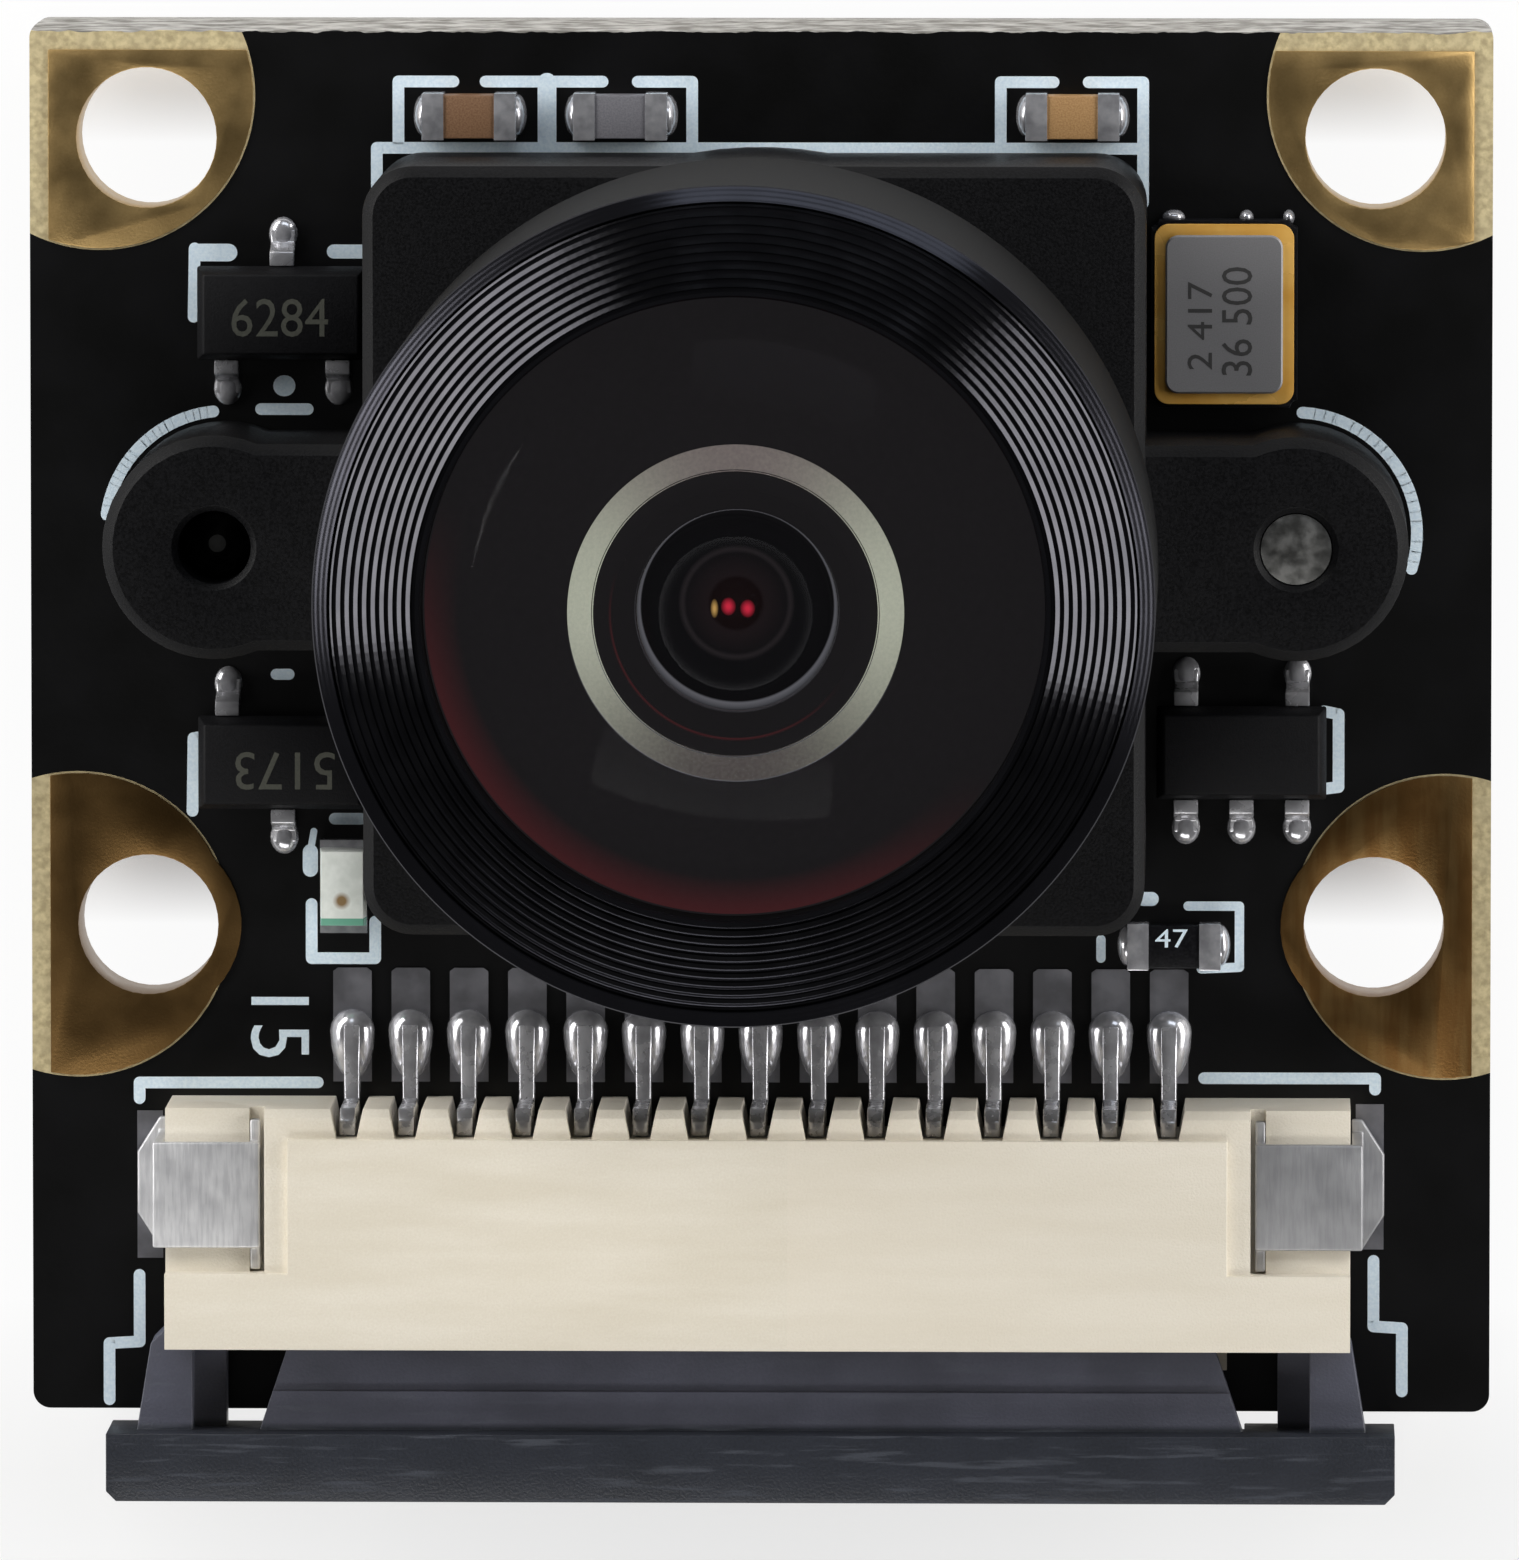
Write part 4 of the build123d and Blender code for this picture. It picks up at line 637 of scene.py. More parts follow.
# painted shade: faces steeper than this get a near-black tone as well as a matt surface
steep = sums(tree, "LESS_THAN", flatness(tree), STEEP_WALL)
dye_and_painted_shade = blend(tree, steep, blend(tree, dyed, "#2A2A2E", "#303035"), "#0A0A0B")
tree.links.new(dye_and_painted_shade, shader.inputs["Base Color"])
tree.links.new(spread(tree, steep, 0.9, 0.0), shader.inputs["Metallic"])
tree.links.new(spread(tree, steep, 0.15, 0.6), shader.inputs["Roughness"])
shader.inputs["Specular IOR Level"].default_value = 0.03
roughen(tree, shader, ripple, TOOL_MARK_DEPTH)

# %% [markdown]
# ## Optical glass
# The front element is a thick dome of dense glass with an anti-reflection coating, so it mirrors
# very little and bends light strongly. Its hollow rear face is clear, the bevel round the hollow is
# ground and stays pale, and the rest of the back is painted black. The paint and the ground bevel
# are made as thin skins inside the glass, so that the dome magnifies them as the real one does.
# The ground bevel catches the side lamps through the dome. A traced lamp hardly reaches it through
# curved glass, so a little glow on its left and right stands in for that light. A red-brown
# crescent on the paint, a mirror image of the lit front, is a weak glow as well.

# %% Glass and its skins
FROST_SIZE = 0.05
BEVEL_SIDE_POWER = 2.5
BEVEL_DIM_Y = -1.5
BEVEL_BRIGHT_Y = 2.2
DUST_SIZE = 0.12
CRESCENT_WAY = (-0.45, -0.89, 0)
CRESCENT_TIP = 0.1
CRESCENT_MIDDLE = 0.85
CRESCENT_INNER = 3.95
CRESCENT_BRIGHT = 4.5
CRESCENT_OUTER = 4.85

glass_finish, tree, shader, place = new_finish(
    "coated_dense_flint_glass", Roughness=0.0, IOR=1.65, Transmission_Weight=1.0
)
shader.inputs["Specular Tint"].default_value = to_linear("#020202")
shader.inputs["Base Color"].default_value = to_linear("#F4F2F6")

bevel_finish, tree, shader, place = new_finish("ground_glass_bevel", Roughness=0.7, Emission_Strength=1.0)
radius = vectors(tree, "LENGTH", flattened(tree, place))
bevel_at = axes_of(tree, place)
sideways = sums(tree, "DIVIDE", sums(tree, "ABSOLUTE", bevel_at["X"]), radius)
lit = sums(tree, "POWER", sideways, BEVEL_SIDE_POWER)
tree.links.new(blend(tree, grain(tree, place, FROST_SIZE), "#8F8882", "#A39C94"), shader.inputs["Base Color"])
# painted light: the glow is also dimmer at the bottom of the bevel and brighter at its top
upper = between(tree, bevel_at["Y"], BEVEL_DIM_Y * MM, BEVEL_BRIGHT_Y * MM)
dim = blend(tree, upper, "#2C2929", "#5C5553")
tree.links.new(blend(tree, lit, dim, "#9EA392"), shader.inputs["Emission Color"])

paint_finish, tree, shader, place = new_finish(
    "edge_black_paint", Roughness=0.7, Specular_IOR_Level=0.0, Emission_Strength=1.0
)
flat_place = flattened(tree, place)
radius = vectors(tree, "LENGTH", flat_place)
lean = sums(tree, "DIVIDE", vectors(tree, "DOT_PRODUCT", flat_place, CRESCENT_WAY), radius)
low_side = between(tree, lean, CRESCENT_TIP, CRESCENT_MIDDLE, interpolation_type="SMOOTHSTEP")
rim_side = sums(
    tree, "MULTIPLY", between(tree, radius, CRESCENT_INNER * MM, CRESCENT_BRIGHT * MM),
    sums(tree, "LESS_THAN", radius, CRESCENT_OUTER * MM),
)
crescent = sums(tree, "MULTIPLY", low_side, rim_side)
dusty = grain(tree, place, DUST_SIZE, 0.3, 0.7, 6.0)
tree.links.new(blend(tree, dusty, "#131213", "#191819"), shader.inputs["Base Color"])
tree.links.new(blend(tree, crescent, "#1A191A", "#3C1D1F"), shader.inputs["Emission Color"])
print("finishes so far:", len(bpy.data.materials))

# %% [markdown]
# ## The second glass and what shows in it
# Behind the hollow sits a second coated glass, and below it the stop. All that the eye gets from
# them is a thin pale ring, a darker pupil and red glints of the coatings deep inside. Those are
# lamps mirrored between six more surfaces, which would take very long to trace. So the second glass
# is an opaque finish whose rings and glints give off the little light that reaches the eye.

# %% Rings by radius
# each tone lies at this distance from the lens axis, in millimetres
RING_TONES = [
    (0.00, "#160F0F"),
    (0.48, "#120C0C"),
    (0.56, "#1C1718"),
    (0.98, "#131213"),
    (1.06, "#242122"),
    (1.16, "#0F0F10"),
    (2.25, "#0D0D0E"),
    (2.36, "#606165"),
    (2.90, "#3C3D40"),
    (3.00, "#0C0C0E"),
]
RING_SPAN = 3.0
GLINT_CORE = 0.2

second_finish, tree, shader, place = new_finish(
    "coated_second_glass", Roughness=0.5, Specular_IOR_Level=0.0, Emission_Strength=1.0
)
flat_place = flattened(tree, place)
radius = vectors(tree, "LENGTH", flat_place)
ramp = add(tree, "ShaderNodeValToRGB", links={"Fac": between(tree, radius, 0.0, RING_SPAN * MM)})
stops = ramp.color_ramp.elements
while len(stops) < len(RING_TONES):
    stops.new(0.5)
for stop, (at, code) in zip(stops, RING_TONES):
    stop.position = at / RING_SPAN
    stop.color = to_linear(code)
tone = ramp.outputs["Color"]
# each glint is its place, its half width, its height for each width, and its colour
GLINTS = [
    ((-0.15, -0.06), 0.15, 1.2, "#C42A40"),
    ((0.22, -0.10), 0.15, 1.2, "#C42A40"),
    ((-0.42, -0.10), 0.08, 2.4, "#B99454"),
]
for (x, y), half_width, tallness, code in GLINTS:
    away = vectors(tree, "SUBTRACT", flat_place, (x * MM, y * MM, 0))
    gap = vectors(tree, "LENGTH", vectors(tree, "MULTIPLY", away, (1, 1 / tallness, 0)))
    glint = between(tree, gap, half_width * MM, half_width * GLINT_CORE * MM)
    tone = blend(tree, glint, tone, code)
shader.inputs["Base Color"].default_value = to_linear("#0A0A0B")
tree.links.new(tone, shader.inputs["Emission Color"])

# %% [markdown]
# ## Turned pieces
# The CAD solids are cut into flats that show at this magnification, so the barrel, the front ring
# and the front glass are spun again from their outlines in finer steps. A lathe outline is a list
# of radius and height. Spinning it and joining the ends gives a closed, smooth solid.

# %% Spin outlines round the lens axis
SPIN_STEPS = 256
TURNED_SHARP_ANGLE = 25.0


def spun(name, outline, closed=True):
    """A solid turned from corners of radius and Z, in millimetres."""
    count = len(outline)
    points = []
    faces = []
    for step in range(SPIN_STEPS):
        angle = 2 * pi * step / SPIN_STEPS
        points += [(r * cos(angle), r * sin(angle), z) for r, z in outline]
        here = step * count
        there = (step + 1) % SPIN_STEPS * count
        for corner in range(count if closed else count - 1):
            after = (corner + 1) % count
            faces.append((here + corner, here + after, there + after, there + corner))
    mesh = mesh_from(name, points, faces)
    mesh.set_sharp_from_angle(angle=radians(TURNED_SHARP_ANGLE))
    return mesh


def arc(radius_low, radius_high, apex, curve, steps):
    """Points on a dome of a given curve whose top is on the axis."""
    points = []
    for step in range(steps + 1):
        r = radius_low + (radius_high - radius_low) * step / steps
        points.append((r, apex - curve + sqrt(curve ** 2 - r ** 2)))
    return points


def top_of(node):
    """Highest Z of a node, in millimetres."""
    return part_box(node)[1].z / MM


def low_of(node):
    """Lowest Z of a node, in millimetres."""
    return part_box(node)[0].z / MM


HEAD_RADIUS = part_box("lens_barrel")[1].x / MM
HEAD_TOP = top_of("lens_barrel")
SHANK_RADIUS = 6.0
SHANK_LENGTH = 5.4
SHANK_REAR = low_of("lens_barrel")
HEAD_REAR = SHANK_REAR + SHANK_LENGTH
CHAMFER = 0.25
HEAD_ROUND_IN = 0.08
HEAD_ROUND_UP = 0.12
GLASS_LOW = low_of("front_element")
GLASS_APEX = top_of("front_element")
GLASS_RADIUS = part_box("front_element")[1].x / MM
GLASS_EDGE_HEIGHT = 2.1
GLASS_LIP = GLASS_LOW + GLASS_EDGE_HEIGHT
GLASS_PLAY = 0.03
FRONT_BORE = GLASS_RADIUS + GLASS_PLAY
RING_BORE = 5.06
RING_SEAT_RADIUS = 6.25
RING_SEAT_DEPTH = 1.5
SPACER_BORE = 4.8
SPACER_DEPTH = 1.55
BARREL_BORE = 4.3
REAR_LIP_BORE = 3.4
REAR_LIP_HEIGHT = 0.5

barrel_outline = [
    (REAR_LIP_BORE, SHANK_REAR),
    (SHANK_RADIUS - CHAMFER, SHANK_REAR),
    (SHANK_RADIUS, SHANK_REAR + CHAMFER),
    (SHANK_RADIUS, HEAD_REAR),
    (HEAD_RADIUS - CHAMFER, HEAD_REAR),
    (HEAD_RADIUS - HEAD_ROUND_IN, HEAD_REAR + HEAD_ROUND_UP),
    (HEAD_RADIUS, HEAD_REAR + CHAMFER),
    (HEAD_RADIUS, HEAD_TOP),
    (RING_SEAT_RADIUS, HEAD_TOP),
    (RING_SEAT_RADIUS, HEAD_TOP - RING_SEAT_DEPTH),
    (FRONT_BORE, HEAD_TOP - RING_SEAT_DEPTH),
    (FRONT_BORE, GLASS_LOW),
    (SPACER_BORE, GLASS_LOW),
    (SPACER_BORE, GLASS_LOW - SPACER_DEPTH),
    (BARREL_BORE, GLASS_LOW - SPACER_DEPTH),
    (BARREL_BORE, SHANK_REAR + REAR_LIP_HEIGHT),
    (REAR_LIP_BORE, SHANK_REAR + REAR_LIP_HEIGHT),
]
barrel_mesh = spun("lens_barrel_turned", barrel_outline)
piece("lens_barrel_turned", barrel_mesh, barrel_finish, "lens", ["lens_barrel"])
print("barrel:", len(barrel_mesh.polygons), "faces")

# %% [markdown]
# ## Glare grooves and the focus thread
# Both are rings of the same small ridge: the grooves climb the conical face of the front ring, and
# the thread climbs the shank. A Geometry Nodes tree lays points from the first ridge to the last,
# puts a circle on each, and sweeps a four-cornered outline round it, whose foot sinks into the metal.
# The grooves were cut with a slanted tool: each ridge has a gentle face away from the lens and a
# steep one towards it. The gentle face mirrors a lamp to the eye, and the gap beside it stays dark.

# %% Tree for turned ridges
def new_shape_tree(name, **inputs):
    """An empty Geometry Nodes tree with named inputs and one geometry output."""
    tree = bpy.data.node_groups.new(name, "GeometryNodeTree")
    for label, kind in inputs.items():
        tree.interface.new_socket(label.replace("_", " "), in_out="INPUT", socket_type="NodeSocket" + kind)
    tree.interface.new_socket("Geometry", in_out="OUTPUT", socket_type="NodeSocketGeometry")
    entry = add(tree, "NodeGroupInput").outputs
    return tree, entry


def end_tree(tree, entry, geometry, flat=False):
    """Ends a tree as plain geometry in one material, with flat faces if told to."""
    if flat:
        shading = add(tree, "GeometryNodeSetShadeSmooth", {"Shade Smooth": False}, {"Geometry": geometry})
        geometry = shading.outputs[0]
    plain = add(tree, "GeometryNodeRealizeInstances", links={"Geometry": geometry})
    painted = add(
        tree, "GeometryNodeSetMaterial",
        links={"Geometry": plain.outputs["Geometry"], "Material": entry["Material"]},
    )
    add(tree, "NodeGroupOutput", links={"Geometry": painted.outputs["Geometry"]})


def grown(name, tree, carrier_data=None, **values):
    """The plain mesh that a tree makes with these values."""
    carrier = placed(name + "_seed", carrier_data or bpy.data.meshes.new(name + "_seed"))
    modifier = carrier.modifiers.new("grow", "NODES")
    modifier.node_group = tree
    for item in tree.interface.items_tree:
        label = item.name.replace(" ", "_")
        if item.in_out == "INPUT" and label in values:
            modifier[item.identifier] = values[label]
    return plain_mesh(name, carrier)


ridge_tree, entry = new_shape_tree(
    "turned_ridges", Count="Int", First_Radius="Float", Last_Radius="Float", First_Height="Float",
    Last_Height="Float", Inner_Foot="Float", Outer_Foot="Float", Crest="Float", Rise="Float",
    Steps="Int", Material="Material",
)
first_ridge = joined(ridge_tree, X=entry["First Radius"], Z=entry["First Height"])
last_ridge = joined(ridge_tree, X=entry["Last Radius"], Z=entry["Last Height"])
ridge_line = add(
    ridge_tree, "GeometryNodeMeshLine",
    links={"Count": entry["Count"], "Start Location": first_ridge, "Offset": last_ridge},
    mode="END_POINTS",
)
line_point = add(ridge_tree, "GeometryNodeInputPosition").outputs[0]
kept = add(
    ridge_tree, "GeometryNodeCaptureAttribute", links={"Geometry": ridge_line.outputs["Mesh"]}, domain="POINT"
)
kept.capture_items.new("VECTOR", "ridge")
ridge_tree.links.new(line_point, kept.inputs["ridge"])
ridge_at = axes_of(ridge_tree, kept.outputs["ridge"])
moved = add(
    ridge_tree, "GeometryNodeSetPosition",
    links={"Geometry": kept.outputs["Geometry"], "Position": joined(ridge_tree, Z=ridge_at["Z"])},
)
circle = add(
    ridge_tree, "GeometryNodeCurvePrimitiveCircle", {"Radius": 1.0}, {"Resolution": entry["Steps"]}
)
ring_scale = add(
    ridge_tree, "ShaderNodeCombineXYZ", {"Z": 1.0}, {"X": ridge_at["X"], "Y": ridge_at["X"]}
)
rings = add(
    ridge_tree, "GeometryNodeInstanceOnPoints",
    links={"Points": moved.outputs[0], "Instance": circle.outputs["Curve"], "Scale": ring_scale.outputs[0]},
)
loose = add(ridge_tree, "GeometryNodeRealizeInstances", links={"Geometry": rings.outputs[0]})
ridge_corners = [
    {"X": entry["Inner Foot"]},
    {"X": entry["Crest"], "Y": entry["Rise"]},
    {"X": entry["Outer Foot"]},
    {"X": entry["Crest"], "Y": sums(ridge_tree, "MULTIPLY", entry["Rise"], -1.0)},
]
ridge_outline = add(ridge_tree, "GeometryNodeCurvePrimitiveQuadrilateral", mode="POINTS")
for number, axes in enumerate(ridge_corners, 1):
    ridge_tree.links.new(joined(ridge_tree, **axes), ridge_outline.inputs[f"Point {number}"])
swept = add(
    ridge_tree, "GeometryNodeCurveToMesh",
    links={"Curve": loose.outputs[0], "Profile Curve": ridge_outline.outputs["Curve"]},
)
end_tree(ridge_tree, entry, swept.outputs[0], flat=True)


def add_ridges(name, count, first, last, finish, **lengths):
    """Ridges on the lens from a first to a last one, each given as radius and Z, in millimetres."""
    lengths |= {"First_Radius": first[0], "First_Height": first[1]}
    lengths |= {"Last_Radius": last[0], "Last_Height": last[1]}
    lengths = {label: length * MM for label, length in lengths.items()}
    mesh = grown(name, ridge_tree, Count=count, Steps=SPIN_STEPS, Material=finish, **lengths)
    piece(name, mesh, finish, "lens")
    print(name + ":", len(mesh.polygons), "faces")


# %% Front ring, its grooves and the thread
RING_SKIRT_RADIUS = 6.2
RING_SKIRT_DEPTH = 1.45
RIM_HEIGHT = 1.0
RIM_CHAMFER = 0.13
RIM_ROUND_IN = 0.02
RIM_ROUND_DOWN = 0.03
CONE_CLIMB = 0.35
RING_EDGE_IN = 0.03
RING_EDGE_DOWN = 0.04
GROOVE_COUNT = 10
GROOVE_OUTER = 6.59
GROOVE_INNER = 5.16
GROOVE_DEPTH = 0.045
GROOVE_SLOPE = 33.0
GROOVE_STEEP_FOOT = 0.015
WALL_LEAN = 0.01
RIM_TOP = HEAD_TOP + RIM_HEIGHT
INNER_TOP = RIM_TOP + CONE_CLIMB
THREAD_PITCH = 0.5
THREAD_TURNS = 10
THREAD_SINK = 0.11
THREAD_RISE = 0.14
THREAD_FOOT = 0.2
THREAD_START = 0.2

ring_outline = [
    (FRONT_BORE, HEAD_TOP - RING_SKIRT_DEPTH),
    (RING_SKIRT_RADIUS, HEAD_TOP - RING_SKIRT_DEPTH),
    (RING_SKIRT_RADIUS, HEAD_TOP),
    (HEAD_RADIUS, HEAD_TOP),
    (HEAD_RADIUS, RIM_TOP - RIM_CHAMFER - RIM_ROUND_DOWN),
    (HEAD_RADIUS - RIM_ROUND_IN, RIM_TOP - RIM_CHAMFER),
    (GROOVE_OUTER + WALL_LEAN, RIM_TOP),
    (GROOVE_OUTER - WALL_LEAN, RIM_TOP - GROOVE_DEPTH),
    (GROOVE_INNER, INNER_TOP - GROOVE_DEPTH),
    (GROOVE_INNER - WALL_LEAN, INNER_TOP),
    (RING_BORE + RING_EDGE_IN, INNER_TOP),
    (RING_BORE, INNER_TOP - RING_EDGE_DOWN),
    (RING_BORE, GLASS_LIP),
    (FRONT_BORE, GLASS_LIP),
]
ring_mesh = spun("front_ring_turned", ring_outline)
piece("front_ring_turned", ring_mesh, barrel_finish, "lens", ["front_retaining_ring"])

groove_pitch = (GROOVE_OUTER - GROOVE_INNER) / GROOVE_COUNT
add_ridges(
    "glare_grooves", GROOVE_COUNT, (GROOVE_OUTER - groove_pitch / 2, RIM_TOP - GROOVE_DEPTH),
    (GROOVE_INNER + groove_pitch / 2, INNER_TOP - GROOVE_DEPTH), groove_finish,
    Inner_Foot=-GROOVE_STEEP_FOOT, Outer_Foot=GROOVE_DEPTH / tan(radians(GROOVE_SLOPE)), Crest=0.0,
    Rise=GROOVE_DEPTH,
)
thread_radius = SHANK_RADIUS - THREAD_SINK
thread_top = HEAD_REAR - THREAD_START
add_ridges(
    "focus_thread", THREAD_TURNS, (thread_radius, thread_top),
    (thread_radius, thread_top - (THREAD_TURNS - 1) * THREAD_PITCH), barrel_finish,
    Inner_Foot=-THREAD_FOOT, Outer_Foot=0.0, Crest=0.0, Rise=THREAD_RISE,
)

# %% Front glass and the skins behind it
HOLLOW_SHIFT = Vector((0, -0.17, 0))
HOLLOW_RADIUS = 1.98
HOLLOW_CURVE = 2.20
HOLLOW_STEPS = 24
SHIFT_MARGIN = 0.1
BEVEL_WIDTH = 0.32
BEVEL_DEPTH = 0.22
DOME_CURVE = 8.5
DOME_STEPS = 40
DOME_PLAY = 0.03
SKIN = 0.012
hollow_apex = GLASS_LOW + BEVEL_DEPTH + HOLLOW_CURVE - sqrt(HOLLOW_CURVE ** 2 - HOLLOW_RADIUS ** 2)
bevel_edge = HOLLOW_RADIUS + BEVEL_WIDTH


def lens_skin(name, outline, finish, closed=True, stands_for=()):
    """A turned piece of the front glass, whose middle is moved off the axis as on the real one."""
    mesh = spun(name, outline, closed)
    for point in mesh.vertices:
        near_axis = point.co.xy.length < (bevel_edge + SHIFT_MARGIN) * MM
        if near_axis and point.co.z < (hollow_apex + SHIFT_MARGIN) * MM:
            point.co += HOLLOW_SHIFT * MM
    piece(name, mesh, finish, "lens", stands_for)
    print(name + ":", len(mesh.polygons), "faces")


dome = arc(0.0, RING_BORE - DOME_PLAY, GLASS_APEX, DOME_CURVE, DOME_STEPS)
glass_side = [(GLASS_RADIUS, GLASS_LIP), (GLASS_RADIUS, GLASS_LOW), (bevel_edge, GLASS_LOW)]
hollow = arc(HOLLOW_RADIUS, 0.0, hollow_apex, HOLLOW_CURVE, HOLLOW_STEPS)
bevel_outline = [
    (bevel_edge, GLASS_LOW + SKIN),
    (HOLLOW_RADIUS + SKIN, GLASS_LOW + BEVEL_DEPTH),
    (HOLLOW_RADIUS + SKIN, GLASS_LOW + BEVEL_DEPTH + SKIN),
    (bevel_edge + SKIN, GLASS_LOW + 2 * SKIN),
]
paint_outline = [
    (bevel_edge + 2 * SKIN, GLASS_LOW + SKIN),
    (GLASS_RADIUS - SKIN, GLASS_LOW + SKIN),
    (GLASS_RADIUS - SKIN, GLASS_LIP - SKIN),
    (GLASS_RADIUS - 2 * SKIN, GLASS_LIP - SKIN),
    (GLASS_RADIUS - 2 * SKIN, GLASS_LOW + 2 * SKIN),
    (bevel_edge + 2 * SKIN, GLASS_LOW + 2 * SKIN),
]
lens_skin(
    "front_glass_polished", dome + glass_side + hollow, glass_finish, closed=False,
    stands_for=["front_element"],
)
lens_skin("ground_bevel", bevel_outline, bevel_finish)
lens_skin("edge_paint", paint_outline, paint_finish)

# %% [markdown]
# ## Soft edges on moulded and stamped pieces
# No real edge is perfectly sharp, and the thin line of light along an edge is what makes black
# plastic readable. Each of these solids is copied, its flat faces are merged, and a small bevel
# runs round its edges. The CAD solid stays as it is and only hides behind the copy.


# %% Bevelled copies of the solids
FLAT_ANGLE = 1.0
ROUNDED_ANGLE = 35
SHARP_ANGLE = 38


def softened(node, name, width_mm, finish, body, slot, segments=2):
    """A copy of a solid with rounded edges, which stands for it."""
    mesh = frame["nodes"][node].data.copy()
    mesh.name = name
    form = bmesh.new()
    form.from_mesh(mesh)
    bmesh.ops.remove_doubles(form, verts=form.verts, dist=MERGE_DISTANCE * MM)
    bmesh.ops.dissolve_limit(form, angle_limit=radians(FLAT_ANGLE), verts=form.verts, edges=form.edges)
    form.to_mesh(mesh)
    form.free()
    if mesh.has_custom_normals:
        mesh.attributes.remove(mesh.attributes["custom_normal"])
    carrier = placed(name + "_seed", mesh)
    rounding = carrier.modifiers.new("soft_edges", "BEVEL")
    rounding.width = width_mm * MM
    rounding.segments = segments
    rounding.limit_method = "ANGLE"
    rounding.angle_limit = radians(ROUNDED_ANGLE)
    rounding.harden_normals = False
    result = plain_mesh(name, carrier)
    for face in result.polygons:
        face.use_smooth = True
    result.set_sharp_from_angle(angle=radians(SHARP_ANGLE))
    piece(name, result, finish, body, [node])


# each piece is its solid, how it was made, edge width, finish, body, slot and steps of the edge
MOULDINGS = [
    ("lens_holder", "moulding", 0.06, holder_finish, "module", "black_moulding", 3),
    ("connector_housing", "moulding", 0.03, housing_finish, "module", "cream_moulding", 2),
    ("slide_lock", "moulding", 0.05, lock_finish, "slide_lock", "dark_moulding", 3),
    ("hold_down_left", "stamping", 0.04, tab_finish, "module", "tinned_metal", 3),
    ("hold_down_right", "stamping", 0.04, tab_finish, "module", "tinned_metal", 3),
]
for node, made_by, *edge_and_finish in MOULDINGS:
    softened(node, f"{node}_{made_by}", *edge_and_finish)

# each part is its solid, the width of its edges, its finish and its slot
SMALL_PARTS = [
    ("mounting_lands", 0.015, gold_finish, "gold_plating"),
    ("holder_screws", 0.05, screw_finish, "screw_steel"),
    ("oscillator_base", 0.04, black_overcoat, "black_ceramic"),
    ("oscillator_seal_ring", 0.02, plated_seal, "gold_plating"),
    ("capacitor_left_body", 0.03, brown_ceramic, "brown_ceramic"),
    ("capacitor_right_body", 0.03, tan_ceramic, "tan_ceramic"),
    ("ferrite_bead_body", 0.03, grey_ferrite, "grey_ceramic"),
    ("resistor_body", 0.03, black_overcoat, "black_ceramic"),
    ("indicator_led_base", 0.02, compound_finish, "black_ceramic"),
]
SMALL_PARTS += [(f"contact_{number:02d}", 0.03, tin_finish, "tinned_metal") for number in range(1, 16)]
for kind in ("capacitor_left", "capacitor_right", "ferrite_bead", "resistor"):
    SMALL_PARTS.append((kind + "_ends", 0.09, solder_finish, "tinned_metal"))
for kind in ("upper", "lower", "right"):
    SMALL_PARTS.append((f"regulator_{kind}_body", 0.04, compound_finish, "black_moulding"))
    SMALL_PARTS.append((f"regulator_{kind}_leads", 0.03, tin_finish, "tinned_metal"))
for node, width, finish, slot in SMALL_PARTS:
    softened(node, node + "_rounded", width, finish, "module", slot)

# %% Rounded lid of the oscillator
LID_CORNER = 0.22
LID_EDGE = 0.03
LID_CORNER_STEPS = 8
LID_SHARP_ANGLE = 30


def rounded_plate(name, low, high, corner, edge):
    """A flat plate with round corners and a chamfered top edge, in millimetres."""
    def outline(inset, z):
        """One turn round the plate at a height."""
        turned = []
        for quarter, (side_x, side_y) in enumerate(((1, 1), (-1, 1), (-1, -1), (1, -1))):
            middle_x = (high.x - corner) if side_x > 0 else (low.x + corner)
            middle_y = (high.y - corner) if side_y > 0 else (low.y + corner)
            for step in range(LID_CORNER_STEPS + 1):
                turn = pi / 2 * (quarter + step / LID_CORNER_STEPS)
                out = corner - inset
                turned.append((middle_x + out * cos(turn), middle_y + out * sin(turn), z))
        return turned

    levels = [outline(0, low.z), outline(0, high.z - edge), outline(edge, high.z)]
    count = len(levels[0])
    points = [point for level in levels for point in level]
    faces = [tuple(range(count)), tuple(range(2 * count, 3 * count))]
    for base in (0, count):
        for here in range(count):
            after = (here + 1) % count
            faces.append((base + here, base + after, base + count + after, base + count + here))
    mesh = mesh_from(name, points, faces)
    mesh.set_sharp_from_angle(angle=radians(LID_SHARP_ANGLE))
    return mesh


lid_low, lid_high = (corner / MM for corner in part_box("oscillator_lid"))
lid_mesh = rounded_plate("oscillator_lid_rounded", lid_low, lid_high, LID_CORNER, LID_EDGE)
piece("oscillator_lid_rounded", lid_mesh, kovar_lid, "module", ["oscillator_lid"])
print("lid:", len(lid_mesh.polygons), "faces")

# %% [markdown]
# ## Legend ink on the board
# Pale ink was printed through a screen round each part, in lines about 0.2 mm wide with round
# ends. The lines could be a picture on the board, but ink has a thickness that catches the light.
# So a tree sweeps a flat strip along each stroke and puts a round pad of ink at both of its ends.
# Each stroke lies a hair higher than the one before, so that two tops never share one plane.

# %% Tree for printed strokes
BOARD_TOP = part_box("circuit_board")[1].z / MM
INK_HAIR = 0.0006
INK_LEVELS = 7
END_STEPS = 20
END_SHARE = 0.96

